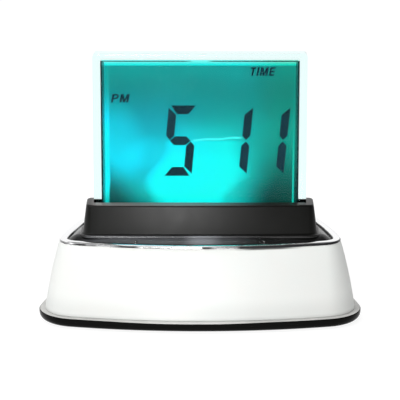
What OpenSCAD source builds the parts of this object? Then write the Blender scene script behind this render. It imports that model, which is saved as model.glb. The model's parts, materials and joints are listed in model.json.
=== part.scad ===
// Free-standing digital desk clock: a clear display stands in a holder on a tapered base.
// Sizes are in millimetres. X runs to the right, Y to the back and Z up, and the origin
// lies on the table under the middle of the base.

/* [Foot plate] */
// Width across the front corners, the widest place
plate_w = 132; // [124:1:142]
// Depth from the front bow to the rear bow
plate_d = 75; // [73:1:84]
// Width across the rear corner rounds
plate_rear_w = 120; // [114:1:126]
// Radius of the bowed front edge
front_bow_r = 236; // [210:1:300]
// Radius of the bowed rear edge
rear_bow_r = 400; // [300:1:600]
// Radius of the bowed sides
side_bow_r = 180; // [150:1:240]
// Radius of the front corners
front_corner_r = 17; // [16:0.5:20]
// Radius of the rear corners
rear_corner_r = 30; // [26:0.5:34]
// Thickness of the plate
plate_h = 3.9; // [3.6:0.1:4.6]
// How far the rolled lower edge draws in
plate_roll_w = 2.2; // [1.6:0.1:3]
// How high the rolled lower edge climbs
plate_roll_h = 2.8; // [1.8:0.1:3]
// Bevel along the plate's upper edge
plate_edge = 0.4; // [0.2:0.1:0.5]
// Thickness of the lip that locates the housing
lip_t = 1.4; // [1:0.1:1.8]
// Height of the lip
lip_h = 2; // [1.4:0.1:3]
// Clearance between the lip and the housing
lip_play = 0.25; // [0.15:0.05:0.4]

/* [Feet] */
// Radius of a rubber foot
foot_r = 4.5; // [3.5:0.1:5]
// Thickness of a foot
foot_t = 1.4; // [1.1:0.1:2]
// How far the feet stand out below the plate
foot_proud = 0.5; // [0.3:0.1:0.8]
// Clearance round a foot in its recess
foot_play = 0.1; // [0.05:0.05:0.2]
// Distance from the plate's edge to a foot's middle
foot_in = 7.6; // [7.2:0.1:8.4]

/* [Housing] */
// Width of the ledge that the plate leaves round the housing
ledge_w = 2.45; // [2:0.05:3.2]
// Height of the housing
housing_h = 28.6; // [28:0.1:33]
// How far the wall leans in from foot to top
housing_taper = 6.2; // [5.4:0.1:6.8]
// How far the wall bellies out at half its height
housing_belly = 0.55; // [0.3:0.05:1]
// Wall thickness
wall = 2.2; // [1.8:0.1:2.4]
// Thickness of the top flange that carries the deck
flange_t = 2; // [1.6:0.1:2.4]

/* [Ring and deck] */
// Width of the chrome ring
ring_w = 3.4; // [2.8:0.1:3.8]
// Straight height of the ring below its bead
ring_base_h = 0.3; // [0.2:0.1:0.6]
// Height of the ring's rounded bead
ring_bead_h = 1.1; // [0.8:0.1:1.4]
// Gap between the ring and the deck
ring_gap = 0.15; // [0.1:0.05:0.3]
// Width of the deck's rim on the flange
deck_seat = 3.3; // [3:0.1:3.6]
// Height of the deck
deck_h = 2.6; // [2.4:0.1:3.4]
// How far the deck's rolled edge draws in
deck_roll_w = 1.4; // [1:0.1:2]
// Height of the deck's rolled edge
deck_roll_h = 1.3; // [0.8:0.1:1.8]
// Thickness of the deck's top
deck_wall = 2; // [1.6:0.1:2.2]
// Height of the low step that the holder stands on
plinth_h = 0.5; // [0.4:0.1:0.9]
// How far the step shows round the holder
plinth_w = 1.2; // [0.8:0.1:1.6]

/* [Display holder] */
// Width at the foot
holder_w = 95.4; // [92:0.1:97]
// Depth at the foot
holder_d = 16.2; // [15.6:0.1:17]
// Height above the deck's step
holder_h = 12.1; // [10:0.1:15]
// How far each side leans in towards the top
holder_draft = 1.4; // [0.8:0.1:1.6]
// Radius of the bowed front
holder_bow_r = 1200; // [400:10:1600]
// Radius of the upright corners
holder_corner_r = 3.6; // [3.2:0.1:4.2]
// Radius of the rounded top edge
holder_edge_r = 0.8; // [0.6:0.1:1.5]
// Distance from the plate's front to the holder's front
holder_setback = 18.1; // [17:0.1:19]
// Width of a locating tab under the rear wall
tab_w = 8; // [6:0.5:10]
// Thickness of a locating tab
tab_t = 1.6; // [1.2:0.1:1.8]
// Clearance round a locating tab
tab_play = 0.2; // [0.1:0.05:0.3]

/* [Clear case] */
// Width of the clear case
case_w = 86.4; // [85.2:0.1:87]
// Height of the clear case from the deck's step
case_h = 73.7; // [72:0.1:90]
// Thickness of the clear case
case_t = 6.4; // [6.4:0.1:6.8]
// Thickness of its front and rear walls
case_wall = 1; // [0.8:0.05:1]
// Radius of its upper corners
case_corner_r = 1.6; // [1:0.1:2.4]
// Distance from the holder's foot to the case's front face
case_setback = 6.5; // [6.2:0.1:6.7]
// Clearance between the case and its slot
case_play = 0.1; // [0.05:0.05:0.15]
// How far the foot lugs stand out at each side
lug_w = 0.9; // [0.6:0.1:1]
// Height of the foot lugs
lug_h = 2.4; // [1.6:0.1:4]

/* [Display] */
// Width of the glass
lcd_w = 79; // [76:0.1:80]
// Height of the rear glass
lcd_h = 65.6; // [60:0.1:66]
// Distance from the top of the case to the glass
lcd_top_gap = 3; // [2.6:0.1:4]
// Clearance between the glass and the case's rim
lcd_play = 0.6; // [0.3:0.1:0.8]
// Height of the contact ledge that the front glass leaves bare
ledge_h = 3; // [2:0.1:4]
// Thickness of each glass
glass_t = 0.8; // [0.6:0.05:0.8]
// Thickness of each polarising film
film_t = 0.2; // [0.1:0.05:0.2]
// Thickness of the layer between the glasses
cell_gap = 0.12; // [0.08:0.02:0.14]
// Thickness of the light guide
guide_t = 2; // [1.6:0.1:2]
// Height of the light guide's foot above the lamps
guide_gap = 0.2; // [0.1:0.1:0.5]
// Thickness of the reflector sheet
reflector_t = 0.2; // [0.1:0.05:0.2]

/* [Digits] */
// Width of a digit
digit_w = 11.8; // [10:0.1:12.5]
// Height of a digit
digit_h = 29.2; // [24:0.1:34]
// Height of a level segment
bar_h = 3.6; // [2.4:0.1:4]
// Width of an upright segment
bar_w = 3.3; // [2:0.1:3.6]
// Gap between neighbouring segments
bar_gap = 0.3; // [0.2:0.1:0.8]
// Distance between the two minute digits
minute_pitch = 15; // [14:0.1:16]
// Distance from the hour digit to the first minute digit
hour_pitch = 22.3; // [20:0.1:24]
// Distance from the middle of the glass to the last digit
last_digit_x = 29.3; // [26:0.1:30]
// Distance from the top of the glass to the top of the digits
digit_drop = 18.6; // [14:0.1:24]
// Angle by which the digits lean to the right
digit_slant = 5.3; // [0:0.1:9]

/* [Light and lamps] */
// Number of lamps under the light guide
lamp_count = 2; // [1:1:4]
// Distance between lamps
lamp_pitch = 11; // [8:0.5:14]
// Width of a lamp
lamp_w = 3.2; // [2.4:0.1:4]
// Height of a lamp
lamp_h = 1.2; // [0.8:0.1:1.6]
// Width of the lamp board
lamp_board_w = 52; // [46:0.5:60]
// Thickness of the lamp board
lamp_board_t = 1; // [0.8:0.1:1.4]
// Width of the posts under the lamp board
lamp_post_w = 3; // [2:0.1:4]
// Distance between the two lamp leads
lamp_lead_pitch = 8; // [6:0.5:14]
// Radius of every lead
lead_r = 0.5; // [0.3:0.05:0.5]
// Width of the display ribbon
ribbon_w = 30; // [26:0.5:33]
// Thickness of the display ribbon
ribbon_t = 0.15; // [0.1:0.05:0.2]
// How far the ribbon lies on the glass ledge
ribbon_lap = 2.4; // [1.6:0.1:2.6]

/* [Light button] */
// Width of the light and snooze bar
light_w = 36; // [28:0.5:44]
// Depth of the bar
light_d = 8; // [7.5:0.5:10]
// Radius of the bar's corners
light_corner_r = 3.6; // [2:0.1:3.8]
// Distance from the holder to the bar
light_gap = 8.8; // [6.5:0.1:10]
// How far the bar stands out of the deck
light_proud = 0.9; // [0.9:0.1:1.6]
// Width of the flange round the bar's foot
light_flange_w = 1.5; // [1:0.1:2]
// Thickness of that flange
light_flange_t = 1; // [0.8:0.1:1.4]
// Radius of the bar's stem
light_stem_r = 1.6; // [1.2:0.1:2]
// Clearance round the bar in the deck
light_play = 0.2; // [0.1:0.05:0.3]

/* [Rear controls] */
// Width of the control panel's face
panel_w = 66; // [64:0.5:69]
// Height of the face
panel_h = 13; // [12.5:0.1:14]
// Thickness of the face
panel_t = 2.4; // [2.2:0.1:2.8]
// Radius of its corners
panel_corner_r = 2; // [1:0.1:3]
// How far the face lies below the housing's wall
panel_recess = 1.9; // [1.7:0.1:2.2]
// Width of the flange behind the housing
panel_flange_w = 2; // [1.6:0.1:2.4]
// Thickness of that flange
panel_flange_t = 1.6; // [1.2:0.1:2]
// Clearance between the face and its window
panel_play = 0.2; // [0.1:0.05:0.3]
// Radius of a push button
button_r = 3; // [2.6:0.1:3.2]
// Distance between push buttons
button_pitch = 11; // [10:0.5:11.5]
// Place of the first push button from the middle
button_first = -24; // [-24.5:0.5:-23]
// How far a push button stands out of the panel
button_proud = 1.2; // [1:0.1:1.6]
// Radial clearance of a push button
button_play = 0.1; // [0.06:0.02:0.2]
// How far the flange of a push button stands out
button_flange_w = 0.9; // [0.6:0.1:1.1]
// Thickness of that flange
button_flange_t = 0.8; // [0.6:0.1:1]
// Length of a button's stem below its flange
button_stem_h = 0.8; // [0.6:0.1:1.2]
// Travel of every push button
button_travel = 0.8; // [0.5:0.1:0.8]
// Clearance left under a pressed button
button_stop = 0.1; // [0.05:0.05:0.15]
// Place of the alarm slide from the middle
slide_x = 22; // [21:0.5:23]
// Travel of the alarm slide
slide_travel = 3; // [2:0.1:3.2]
// Width of the slide's knob
knob_w = 3; // [2.4:0.1:3.4]
// Height of the slide's knob
knob_h = 2.4; // [2:0.1:2.8]
// How far the knob stands out
knob_proud = 0.9; // [0.6:0.1:1.2]
// Clearance round the knob
knob_play = 0.3; // [0.2:0.05:0.35]

/* [Boards] */
// Width of the main board
board_w = 70; // [66:0.5:72]
// Depth of the main board
board_d = 34; // [32:0.5:34]
// Thickness of every board
board_t = 1.6; // [1:0.1:1.6]
// Gap between the battery bay and the main board
board_gap = 3.1; // [2.4:0.1:3.4]
// Distance from the main board's edges to its posts
post_in = 3.6; // [3.2:0.1:4]
// Radius of the posts
post_r = 2.4; // [2:0.1:2.6]
// Width of a key switch
switch_w = 4.5; // [4:0.1:5]
// Height of a key switch's body
switch_h = 2.6; // [2:0.1:2.8]
// Height of a switch's own plunger
plunger_h = 0.5; // [0.4:0.1:0.6]
// Radius of a switch's own plunger
plunger_r = 1.2; // [0.8:0.1:1.5]
// Width of the light switch
light_switch_w = 6; // [5:0.1:6.5]
// Height of the light switch's body
light_switch_h = 3.5; // [3:0.1:5]

/* [Power and sound] */
// Number of cells
cell_count = 3; // [2:1:3]
// Radius of an AAA cell
cell_r = 5.2; // [5:0.05:5.25]
// Length of a cell with its nub
cell_len = 44.5; // [43:0.1:44.6]
// Gap between neighbouring cells
cell_space = 0.5; // [0.3:0.1:0.6]
// Gap between the outer cells and the bay
bay_play = 0.65; // [0.5:0.05:0.8]
// Room above the cells
bay_head = 0.4; // [0.2:0.1:0.8]
// Room between the cells and the door
bay_foot = 0.3; // [0.2:0.1:0.5]
// Thickness of the bay's walls
bay_wall = 1.6; // [1.2:0.1:1.8]
// Place of the bay's middle from the middle of the base
bay_y = -4; // [-4.5:0.5:-3.5]
// Length of a battery spring in use
spring_len = 6.7; // [5.5:0.1:7]
// Radius of a spring at its wide end
spring_r = 3.6; // [3:0.1:3.8]
// Thickness of a contact plate
contact_t = 0.4; // [0.3:0.05:0.5]
// Width of a contact plate
contact_w = 8; // [7:0.1:9]
// Thickness of the battery door
door_t = 2; // [1.6:0.1:2]
// How far the door lies above the plate's underside
door_recess = 0.2; // [0.1:0.05:0.2]
// Clearance round the door
door_play = 0.3; // [0.25:0.05:0.4]
// Width of a door tab
door_tab_w = 6; // [5:0.1:8]
// Length of a door tab
door_tab_len = 1.6; // [1.2:0.1:1.6]
// Thickness of a door tab
door_tab_t = 1.2; // [0.8:0.1:1.2]
// Radius of the buzzer disc
buzzer_r = 10; // [8:0.1:10.4]
// Place of the buzzer's middle to the right
buzzer_x = 44; // [43.5:0.1:45]
// Radius of a sound hole
sound_r = 0.7; // [0.5:0.1:0.9]
// Distance from the middle sound hole to the others
sound_ring_r = 4; // [3:0.1:6]

/* [Screws] */
// Radius of a case screw
screw_r = 1.3; // [1.1:0.05:1.4]
// Length of a case screw below its head
screw_len = 10; // [8:0.5:12]
// Radius of a small screw
small_r = 0.8; // [0.7:0.05:0.9]
// Length of a small screw below its head
small_len = 5; // [4:0.5:6]
// Radius of the bosses for the case screws
boss_r = 3.6; // [3.2:0.1:3.8]
// Distance from the plate's edge to a case screw
boss_in = 15.5; // [15:0.1:16]
// Clearance between a screw and its hole
screw_play = 0.05; // [0.02:0.01:0.1]
// Clearance between a screw's neck and the part that it clamps
neck_play = 0.3; // [0.2:0.05:0.4]

/* [Hidden] */
$fn = 48;

// Overrun of every cut, and the least radius that an inset corner keeps
over = 1;
least_r = 0.3;

// Sizes shared by the screws
head_share = 1.95;
head_h_share = 1.4;
slot_share = 0.35;
screw_head_r = head_share * screw_r;

// Heights, from the table up
plate_z = foot_proud;
plate_top = plate_z + plate_h;
housing_top = plate_top + housing_h;
deck_top = housing_top + deck_h;
plinth_top = deck_top + plinth_h;
holder_top = plinth_top + holder_h;
case_top = plinth_top + case_h;
glass_top = case_top - lcd_top_gap;
glass_foot = glass_top - lcd_h;
digit_top = glass_top - digit_drop;

// Plan of the base: five arcs from the middle of the front to the middle of the back,
// each touching the next. An inset plan keeps the centres and shortens the radii.
front_c = [0, front_bow_r - plate_d / 2];
front_turn = -acos((plate_w / 2 - front_corner_r) / (front_bow_r - front_corner_r));
front_corner_c = front_c + (front_bow_r - front_corner_r) * [cos(front_turn), sin(front_turn)];
rear_c = [0, plate_d / 2 - rear_bow_r];
rear_turn = acos((plate_rear_w / 2 - rear_corner_r) / (rear_bow_r - rear_corner_r));
rear_corner_c = rear_c + (rear_bow_r - rear_corner_r) * [cos(rear_turn), sin(rear_turn)];
corner_span = rear_corner_c - front_corner_c;
corner_dist = norm(corner_span);
span_dir = corner_span / corner_dist;
side_to_front = side_bow_r - front_corner_r;
side_to_rear = side_bow_r - rear_corner_r;
side_along = (side_to_front ^ 2 - side_to_rear ^ 2 + corner_dist ^ 2) / (2 * corner_dist);
side_across = sqrt(side_to_front ^ 2 - side_along ^ 2);
side_c = front_corner_c + side_along * span_dir + side_across * [-span_dir.y, span_dir.x];
side_start = atan2(front_corner_c.y - side_c.y, front_corner_c.x - side_c.x);
side_end = atan2(rear_corner_c.y - side_c.y, rear_corner_c.x - side_c.x);

// Steps of each arc of the plan, and of the housing's profile and the rolled edges
bow_steps = 6;
corner_steps = 12;
profile_steps = 8;
roll_steps = 5;

// Points of an arc, without its end
function arc(c, r, from, to, steps) =
    [for (i = [0:steps - 1]) let (a = from + (to - from) * i / steps) c + r * [cos(a), sin(a)]];

function half_plan(t) = concat(
    arc(front_c, front_bow_r - t, -90, front_turn, bow_steps),
    arc(front_corner_c, max(front_corner_r - t, least_r), front_turn, side_start, corner_steps),
    arc(side_c, side_bow_r - t, side_start, side_end, bow_steps),
    arc(rear_corner_c, max(rear_corner_r - t, least_r), side_end, rear_turn, corner_steps),
    arc(rear_c, rear_bow_r - t, rear_turn, 90, bow_steps),
    [[0, rear_c.y + rear_bow_r - t]]);

// Plan of the holder: a bowed front, round corners and a straight back
holder_front_y = holder_setback - plate_d / 2;
holder_rear_y = holder_front_y + holder_d;
holder_bow_c = [0, holder_front_y + holder_bow_r];
holder_turn = -acos((holder_w / 2 - holder_corner_r) / (holder_bow_r - holder_corner_r));
holder_corner_c = holder_bow_c + (holder_bow_r - holder_corner_r) * [cos(holder_turn), sin(holder_turn)];
holder_rear_c = [holder_w / 2 - holder_corner_r, holder_rear_y - holder_corner_r];

function half_holder(t) = concat(
    arc(holder_bow_c, holder_bow_r - t, -90, holder_turn, bow_steps),
    arc(holder_corner_c, max(holder_corner_r - t, least_r), holder_turn, 0, bow_steps),
    arc(holder_rear_c, max(holder_corner_r - t, least_r), 0, 90, bow_steps),
    [[holder_rear_c.x, holder_rear_y - t]],
    [[0, holder_rear_y - t]]);

// Whole outline from its right half
function whole(half) = concat(half, [for (i = [len(half) - 2:-1:1]) [-half[i].x, half[i].y]]);

// Inset of the housing's outer face at share s of its height
function lean_in(s) = ledge_w + housing_taper * s - 4 * housing_belly * s * (1 - s);

// Insets of the pieces on the housing's top
ring_in = lean_in(1);
deck_in = ring_in + ring_w + ring_gap;
seat_in = deck_in + deck_seat;
deck_screw_in = deck_in + deck_seat / 2;

// Places of the case screws and of the feet, round the corner centres
boss_turns = [-80, 36];
foot_turns = [-25, 55];
corner_cs = [front_corner_c, rear_corner_c];
corner_rs = [front_corner_r, rear_corner_r];
function by_corner(k, inset, turn) = corner_cs[k] + (corner_rs[k] - inset) * [cos(turn), sin(turn)];
plate_boss_h = 3;
boss_gap = 0.1;
screw_seat_z = plate_top + plate_boss_h / 3;
plate_boss_top = plate_top + plate_boss_h;

// Battery bay and door
cell_pitch = 2 * cell_r + cell_space;
bay_w = cell_len + spring_len + 2 * contact_t;
bay_d = cell_count * cell_pitch + 2 * bay_play;
bay_front_y = bay_y - bay_d / 2;
door_z = plate_z + door_recess;
door_top = door_z + door_t;
door_w = bay_w - 2 * door_play;
door_d = bay_d - 2 * door_play;
door_slot_z = door_top - door_tab_t - door_play;
door_slot_h = 2 * door_tab_t + door_play;
cell_z = door_top + bay_foot + cell_r;
bay_ceiling_z = cell_z + cell_r + bay_head;
bay_top = bay_ceiling_z + bay_wall;
nub_r = 1.9;
nub_len = 1;
latch_w = 10;
latch_t = 0.9;
latch_h = 2;
latch_in = 0.5;
grip_count = 3;
grip_w = 12;
grip_pitch = 2;
grip_deep = 0.4;
tail_w = 3;
tail_h = 1;
tail_play = 0.2;
function cell_y(i) = bay_y + (i - (cell_count - 1) / 2) * cell_pitch;
function cell_turn(i) = i % 2 == 0 ? 1 : -1;

// Buzzer on its seat
buzzer_t = 0.3;
buzzer_crystal_t = 0.2;
buzzer_crystal_share = 0.7;
buzzer_seat_w = 1;
buzzer_seat_h = 1;
buzzer_rim_t = 1.2;
buzzer_play = 0.2;
buzzer_back = 1.5;
buzzer_y = bay_y + buzzer_back;

// Main board
board_z = bay_top + board_gap;
board_top = board_z + board_t;
post_x = board_w / 2 - post_in;
post_y = board_d / 2 - post_in;
blob_r = 6;
blob_h = 1.6;
blob_x = -18;
blob_back = 1.5;
crystal_r = 1;
crystal_len = 6;
crystal_x = -6;
cap_r = 2.5;
cap_h = 6;
cap_x = 24;
socket_side = 1;
socket_d = 3;
socket_h = 2.4;
socket_deep = 1.3;
socket_play = 0.1;

// Display stack, from the case's front face back
case_front_y = holder_front_y + case_setback;
case_rear_y = case_front_y + case_t;
pocket_w = lcd_w + 2 * lcd_play;
pocket_y = case_front_y + case_wall;
front_glass_y = pocket_y + film_t;
cell_gap_y = front_glass_y + glass_t;
rear_glass_y = cell_gap_y + cell_gap;
rear_film_y = rear_glass_y + glass_t;
guide_y = rear_film_y + film_t;
reflector_y = guide_y + guide_t;
rim_play = 0.3;
slot_w = case_w + 2 * case_play;
slot_d = case_t + 2 * case_play;
slot_mid_y = case_front_y + case_t / 2;
lamp_mid_y = guide_y + guide_t / 2;
lamp_share = 0.8;
lamp_top = glass_foot - guide_gap;
lamp_board_top = lamp_top - lamp_h;
lamp_board_z = lamp_board_top - lamp_board_t;
ribbon_y = rear_glass_y - ribbon_t;
ribbon_opening_w = ribbon_w + 4 * socket_side;
socket_y = ribbon_y + ribbon_t / 2;

// Holder fixings
holder_screw_x = 30;
holder_screw_wall = 1.2;
holder_screw_y = case_front_y - case_play - small_r - screw_play - holder_screw_wall;
holder_tab_x = 28;
holder_tab_y = (case_rear_y + case_play + holder_rear_y - holder_draft) / 2;
holder_screw_seat_z = deck_top - deck_wall;

// Light bar
light_y = holder_rear_y + light_gap + light_d / 2;
light_flange_top = deck_top - deck_wall - button_stop;
light_flange_z = light_flange_top - light_flange_t;
light_plunger_top = board_top + light_switch_h + plunger_h;
light_stem_z = light_plunger_top + button_travel + button_stop;

// Control panel: its frame stands on the panel's face, with x to the right as seen from
// behind, y up the leaning wall and z out of the wall
panel_lean = atan(housing_taper / housing_h);
panel_y = plate_d / 2 - lean_in(0.5) - panel_recess * cos(panel_lean);
panel_z = plate_top + housing_h / 2 - panel_recess * sin(panel_lean);
pad_edge = 1;
panel_back = -panel_t - panel_flange_t;
button_flange_top = panel_back - button_stop;
button_flange_z = button_flange_top - button_flange_t;
button_stem_z = button_flange_z - button_stem_h;
switch_plunger_top = button_stem_z - button_travel - button_stop;
switch_top = switch_plunger_top - plunger_h;
key_front = switch_top - switch_h;
key_back = key_front - board_t;
key_post_x = panel_w / 2 - post_r + panel_flange_w / 2;
key_post_share = 0.9;
key_post_r = key_post_share * post_r;
key_board_w = panel_w + panel_flange_w;
slide_rest_x = slide_x - slide_travel / 2;
slide_body_w = slide_travel + 2 * knob_w;
slide_body_h = 4.4;
slide_body_t = 4.4;
slide_groove_deep = 1.4;
stem_w = 2;
stem_h = 1.2;
stem_gap = 0.3;
knob_foot = panel_back + button_stop;
key_ribbon_w = 12;
key_ribbon_t = 0.3;
key_ribbon_lap = 2.5;
key_ribbon_gap = 0.15;
key_ribbon_side = 3;
key_ribbon_x = (light_switch_w + key_ribbon_w) / 2 + key_ribbon_side;
key_ribbon_z = board_top + key_ribbon_t / 2;
key_rise = (key_ribbon_z - panel_z - key_back * sin(panel_lean)) / cos(panel_lean);
key_back_y = panel_y + key_back * cos(panel_lean) - key_rise * sin(panel_lean);

// Deck screw places
deck_screw_front_x = 26;
deck_screw_rear_x = 20;
deck_screw_front_y = front_c.y - sqrt((front_bow_r - deck_screw_in) ^ 2 - deck_screw_front_x ^ 2);
deck_screw_rear_y = rear_c.y + sqrt((rear_bow_r - deck_screw_in) ^ 2 - deck_screw_rear_x ^ 2);
deck_screw_spots = [
    [deck_screw_front_x, deck_screw_front_y],
    [-deck_screw_front_x, deck_screw_front_y],
    [deck_screw_rear_x, deck_screw_rear_y],
    [-deck_screw_rear_x, deck_screw_rear_y]
];
deck_screw_share = 0.6;
deck_screw_len = flange_t + deck_screw_share * deck_h;

// Solid through a stack of level rings of equally many points, counted from below
module loft(rings) {
    n = len(rings[0]);
    m = len(rings);
    polyhedron(
        points = [for (ring = rings, p = ring) p],
        faces = concat(
            [[for (i = [0:n - 1]) i]],
            [for (k = [0:m - 2], i = [0:n - 1])
                [k * n + i, (k + 1) * n + i, (k + 1) * n + (i + 1) % n]],
            [for (k = [0:m - 2], i = [0:n - 1])
                [k * n + i, (k + 1) * n + (i + 1) % n, k * n + (i + 1) % n]],
            [[for (i = [n - 1:-1:0]) (m - 1) * n + i]]));
}

// Closed band round a plan: its section is a ring of [inset, height] points
module band(section) {
    rings = [for (s = section) [for (p = whole(half_plan(s[0]))) [p.x, p.y, s[1]]]];
    n = len(rings[0]);
    m = len(rings);
    polyhedron(
        points = [for (ring = rings, p = ring) p],
        faces = concat(
            [for (k = [0:m - 1], i = [0:n - 1])
                [k * n + i, (k + 1) % m * n + i, (k + 1) % m * n + (i + 1) % n]],
            [for (k = [0:m - 1], i = [0:n - 1])
                [k * n + i, (k + 1) % m * n + (i + 1) % n, k * n + (i + 1) % n]]));
}

// Solid whose plan is inset by levels of [inset, height]
module base_stack(levels) {
    loft([for (l = levels) [for (p = whole(half_plan(l[0]))) [p.x, p.y, l[1]]]]);
}

module holder_stack(levels) {
    loft([for (l = levels) [for (p = whole(half_holder(l[0]))) [p.x, p.y, l[1]]]]);
}

module plan_prism(inset, z, h) {
    translate([0, 0, z])
        linear_extrude(h)
            polygon(whole(half_plan(inset)));
}

// Box centred in X and Y, standing at height z
module slab(w, d, h, x = 0, y = 0, z = 0) {
    translate([x - w / 2, y - d / 2, z])
        cube([w, d, h]);
}

module rod(r, h, x = 0, y = 0, z = 0) {
    translate([x, y, z])
        cylinder(r = r, h = h);
}

// Level rectangle with round corners, as one flat outline
module round_outline(w, d, r) {
    square([w - 2 * r, d], center = true);
    square([w, d - 2 * r], center = true);
    for (sx = [-1, 1], sy = [-1, 1])
        translate([sx * (w / 2 - r), sy * (d / 2 - r)])
            circle(r);
}

module round_slab(w, d, h, r, x = 0, y = 0, z = 0) {
    translate([x, y, z])
        linear_extrude(h)
            round_outline(w, d, r);
}

// Upright sheet from y towards the back
module upright(y, t) {
    translate([0, y + t, 0])
        rotate([90, 0, 0])
            linear_extrude(t)
                children();
}

module upright_box(w, h, y, t, z) {
    slab(w, t, h, 0, y + t / 2, z);
}

// Screw with its head down: the shank starts at height zero and points up
module screw(r, length) {
    head_r = head_share * r;
    head_h = head_h_share * r;
    difference() {
        union() {
            rod(r, length);
            rod(head_r, head_h, 0, 0, -head_h);
        }
        for (a = [0, 90])
            rotate([0, 0, a])
                slab(head_r, slot_share * r, head_h, 0, 0, -1.5 * head_h);
    }
}

module both_sides() {
    children();
    mirror([1, 0, 0])
        children();
}

// Copies at the four case screws or the four feet
module at_corners(inset, turns) {
    both_sides()
        for (k = [0, 1])
            let (p = by_corner(k, inset, turns[k]))
                translate([p.x, p.y, 0])
                    children();
}

module at_board_posts() {
    for (sx = [-1, 1], sy = [-1, 1])
        translate([sx * post_x, bay_y + sy * post_y, 0])
            children();
}

module on_panel() {
    translate([0, panel_y, panel_z])
        rotate([panel_lean - 90, 0, 0])
            rotate([0, 0, 180])
                children();
}

function button_x(i) = button_first + i * button_pitch;

module base_plate() {
    roll = [for (i = [0:roll_steps]) let (a = 90 * i / roll_steps)
        [plate_roll_w * (1 - sin(a)), plate_z + plate_roll_h * (1 - cos(a))]];
    lip_in = lean_in(lip_h / housing_h) + wall + lip_play;
    color("#191614")
        difference() {
            union() {
                base_stack(concat(roll, [[0, plate_top - plate_edge], [plate_edge, plate_top]]));
                difference() {
                    plan_prism(lip_in, plate_top - plate_edge, plate_edge + lip_h);
                    plan_prism(lip_in + lip_t, plate_top - over, lip_h + 2 * over);
                }
                slab(bay_w + 2 * bay_wall, bay_d + 2 * bay_wall, bay_top - plate_top + plate_edge,
                    0, bay_y, plate_top - plate_edge);
                at_board_posts()
                    rod(post_r, board_z - plate_top + plate_edge, 0, 0, plate_top - plate_edge);
                at_corners(boss_in, boss_turns)
                    rod(boss_r, plate_boss_h + plate_edge, 0, 0, plate_top - plate_edge);
                rod(buzzer_r + buzzer_play + buzzer_rim_t, buzzer_seat_h * 2 + plate_edge,
                    buzzer_x, buzzer_y, plate_top - plate_edge);
            }
            // Battery bay, open below
            slab(bay_w, bay_d, bay_ceiling_z - plate_z + over, 0, bay_y, plate_z - over);
            for (sx = [-1, 1])
                slab(door_tab_w + 2 * door_play, door_tab_len + over, door_slot_h,
                    sx * door_w / 4, bay_front_y - door_tab_len / 2 + over / 2, door_slot_z);
            // Slits for the two contact tails
            for (s = [-1, 1])
                slab(contact_t + 2 * tail_play, tail_w + 2 * tail_play, bay_wall + 2 * over,
                    s * (bay_w - contact_t) / 2, cell_y(s > 0 ? 0 : cell_count - 1), bay_ceiling_z - over);
            at_board_posts()
                rod(small_r + screw_play, small_len + over, 0, 0, board_z - small_len);
            at_corners(boss_in, boss_turns) {
                rod(screw_head_r + neck_play, screw_seat_z - plate_z + over, 0, 0, plate_z - over);
                rod(screw_r + neck_play, plate_boss_h + over, 0, 0, screw_seat_z - over / 2);
            }
            at_corners(foot_in, foot_turns)
                rod(foot_r + foot_play, foot_t - foot_proud + over, 0, 0, plate_z - over);
            // Buzzer seat, sound chamber and sound holes
            translate([buzzer_x, buzzer_y, 0]) {
                rod(buzzer_r + buzzer_play, buzzer_seat_h + over, 0, 0, plate_top + buzzer_seat_h);
                rod(buzzer_r - buzzer_seat_w, buzzer_seat_h + over, 0, 0, plate_top);
                rod(sound_r, plate_h + 2 * over, 0, 0, plate_z - over);
                for (a = [0:60:300])
                    rotate([0, 0, a])
                        rod(sound_r, plate_h + 2 * over, sound_ring_r, 0, plate_z - over);
            }
        }
}

module rubber_feet() {
    color("#202020")
        at_corners(foot_in, foot_turns)
            rod(foot_r, foot_t);
}

module battery_door() {
    door_y = bay_front_y + door_play;
    color("#1c1917")
        difference() {
            union() {
                slab(door_w, door_d, door_t, 0, bay_y, door_z);
                for (sx = [-1, 1])
                    slab(door_tab_w, door_tab_len + door_tab_t, door_tab_t,
                        sx * door_w / 4, door_y + (door_tab_t - door_tab_len) / 2, door_top - door_tab_t);
                slab(latch_w, latch_t, latch_h + door_t / 2,
                    0, door_y + door_d - latch_in - latch_t / 2, door_top - door_t / 2);
            }
            for (i = [0:grip_count - 1])
                slab(grip_w, grip_pitch / 2, grip_deep + over,
                    0, door_y + door_d - (i + 2) * grip_pitch, door_z - over);
        }
}

module battery_cells() {
    color("#3d6f8f")
        for (i = [0:cell_count - 1])
            translate([cell_turn(i) * (bay_w / 2 - contact_t), cell_y(i), cell_z])
                rotate([0, -90 * cell_turn(i), 0]) {
                    rod(nub_r, nub_len);
                    rod(cell_r, cell_len - nub_len, 0, 0, nub_len);
                }
}

module battery_springs() {
    color("silver")
        for (i = [0:cell_count - 1])
            translate([-cell_turn(i) * (bay_w / 2 - contact_t), cell_y(i), cell_z])
                rotate([0, 90 * cell_turn(i), 0])
                    cylinder(h = spring_len, r1 = spring_r, r2 = spring_r / 2);
}

module battery_plates() {
    color("lightgrey") {
        for (i = [0:cell_count - 1], s = [-1, 1])
            slab(contact_t, contact_w, contact_w,
                s * (bay_w - contact_t) / 2, cell_y(i), cell_z - contact_w / 2);
        for (s = [-1, 1])
            slab(contact_t, tail_w, bay_top + tail_h - cell_z,
                s * (bay_w - contact_t) / 2, cell_y(s > 0 ? 0 : cell_count - 1), cell_z);
    }
}

module battery_leads() {
    color("firebrick")
        for (s = [-1, 1])
            rod(lead_r, board_z - bay_top - tail_h,
                s * (bay_w - contact_t) / 2, cell_y(s > 0 ? 0 : cell_count - 1), bay_top + tail_h);
}

module buzzer() {
    color("goldenrod")
        translate([buzzer_x, buzzer_y, plate_top + buzzer_seat_h]) {
            rod(buzzer_r, buzzer_t);
            rod(buzzer_crystal_share * buzzer_r, buzzer_crystal_t, 0, 0, buzzer_t);
        }
}

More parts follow.
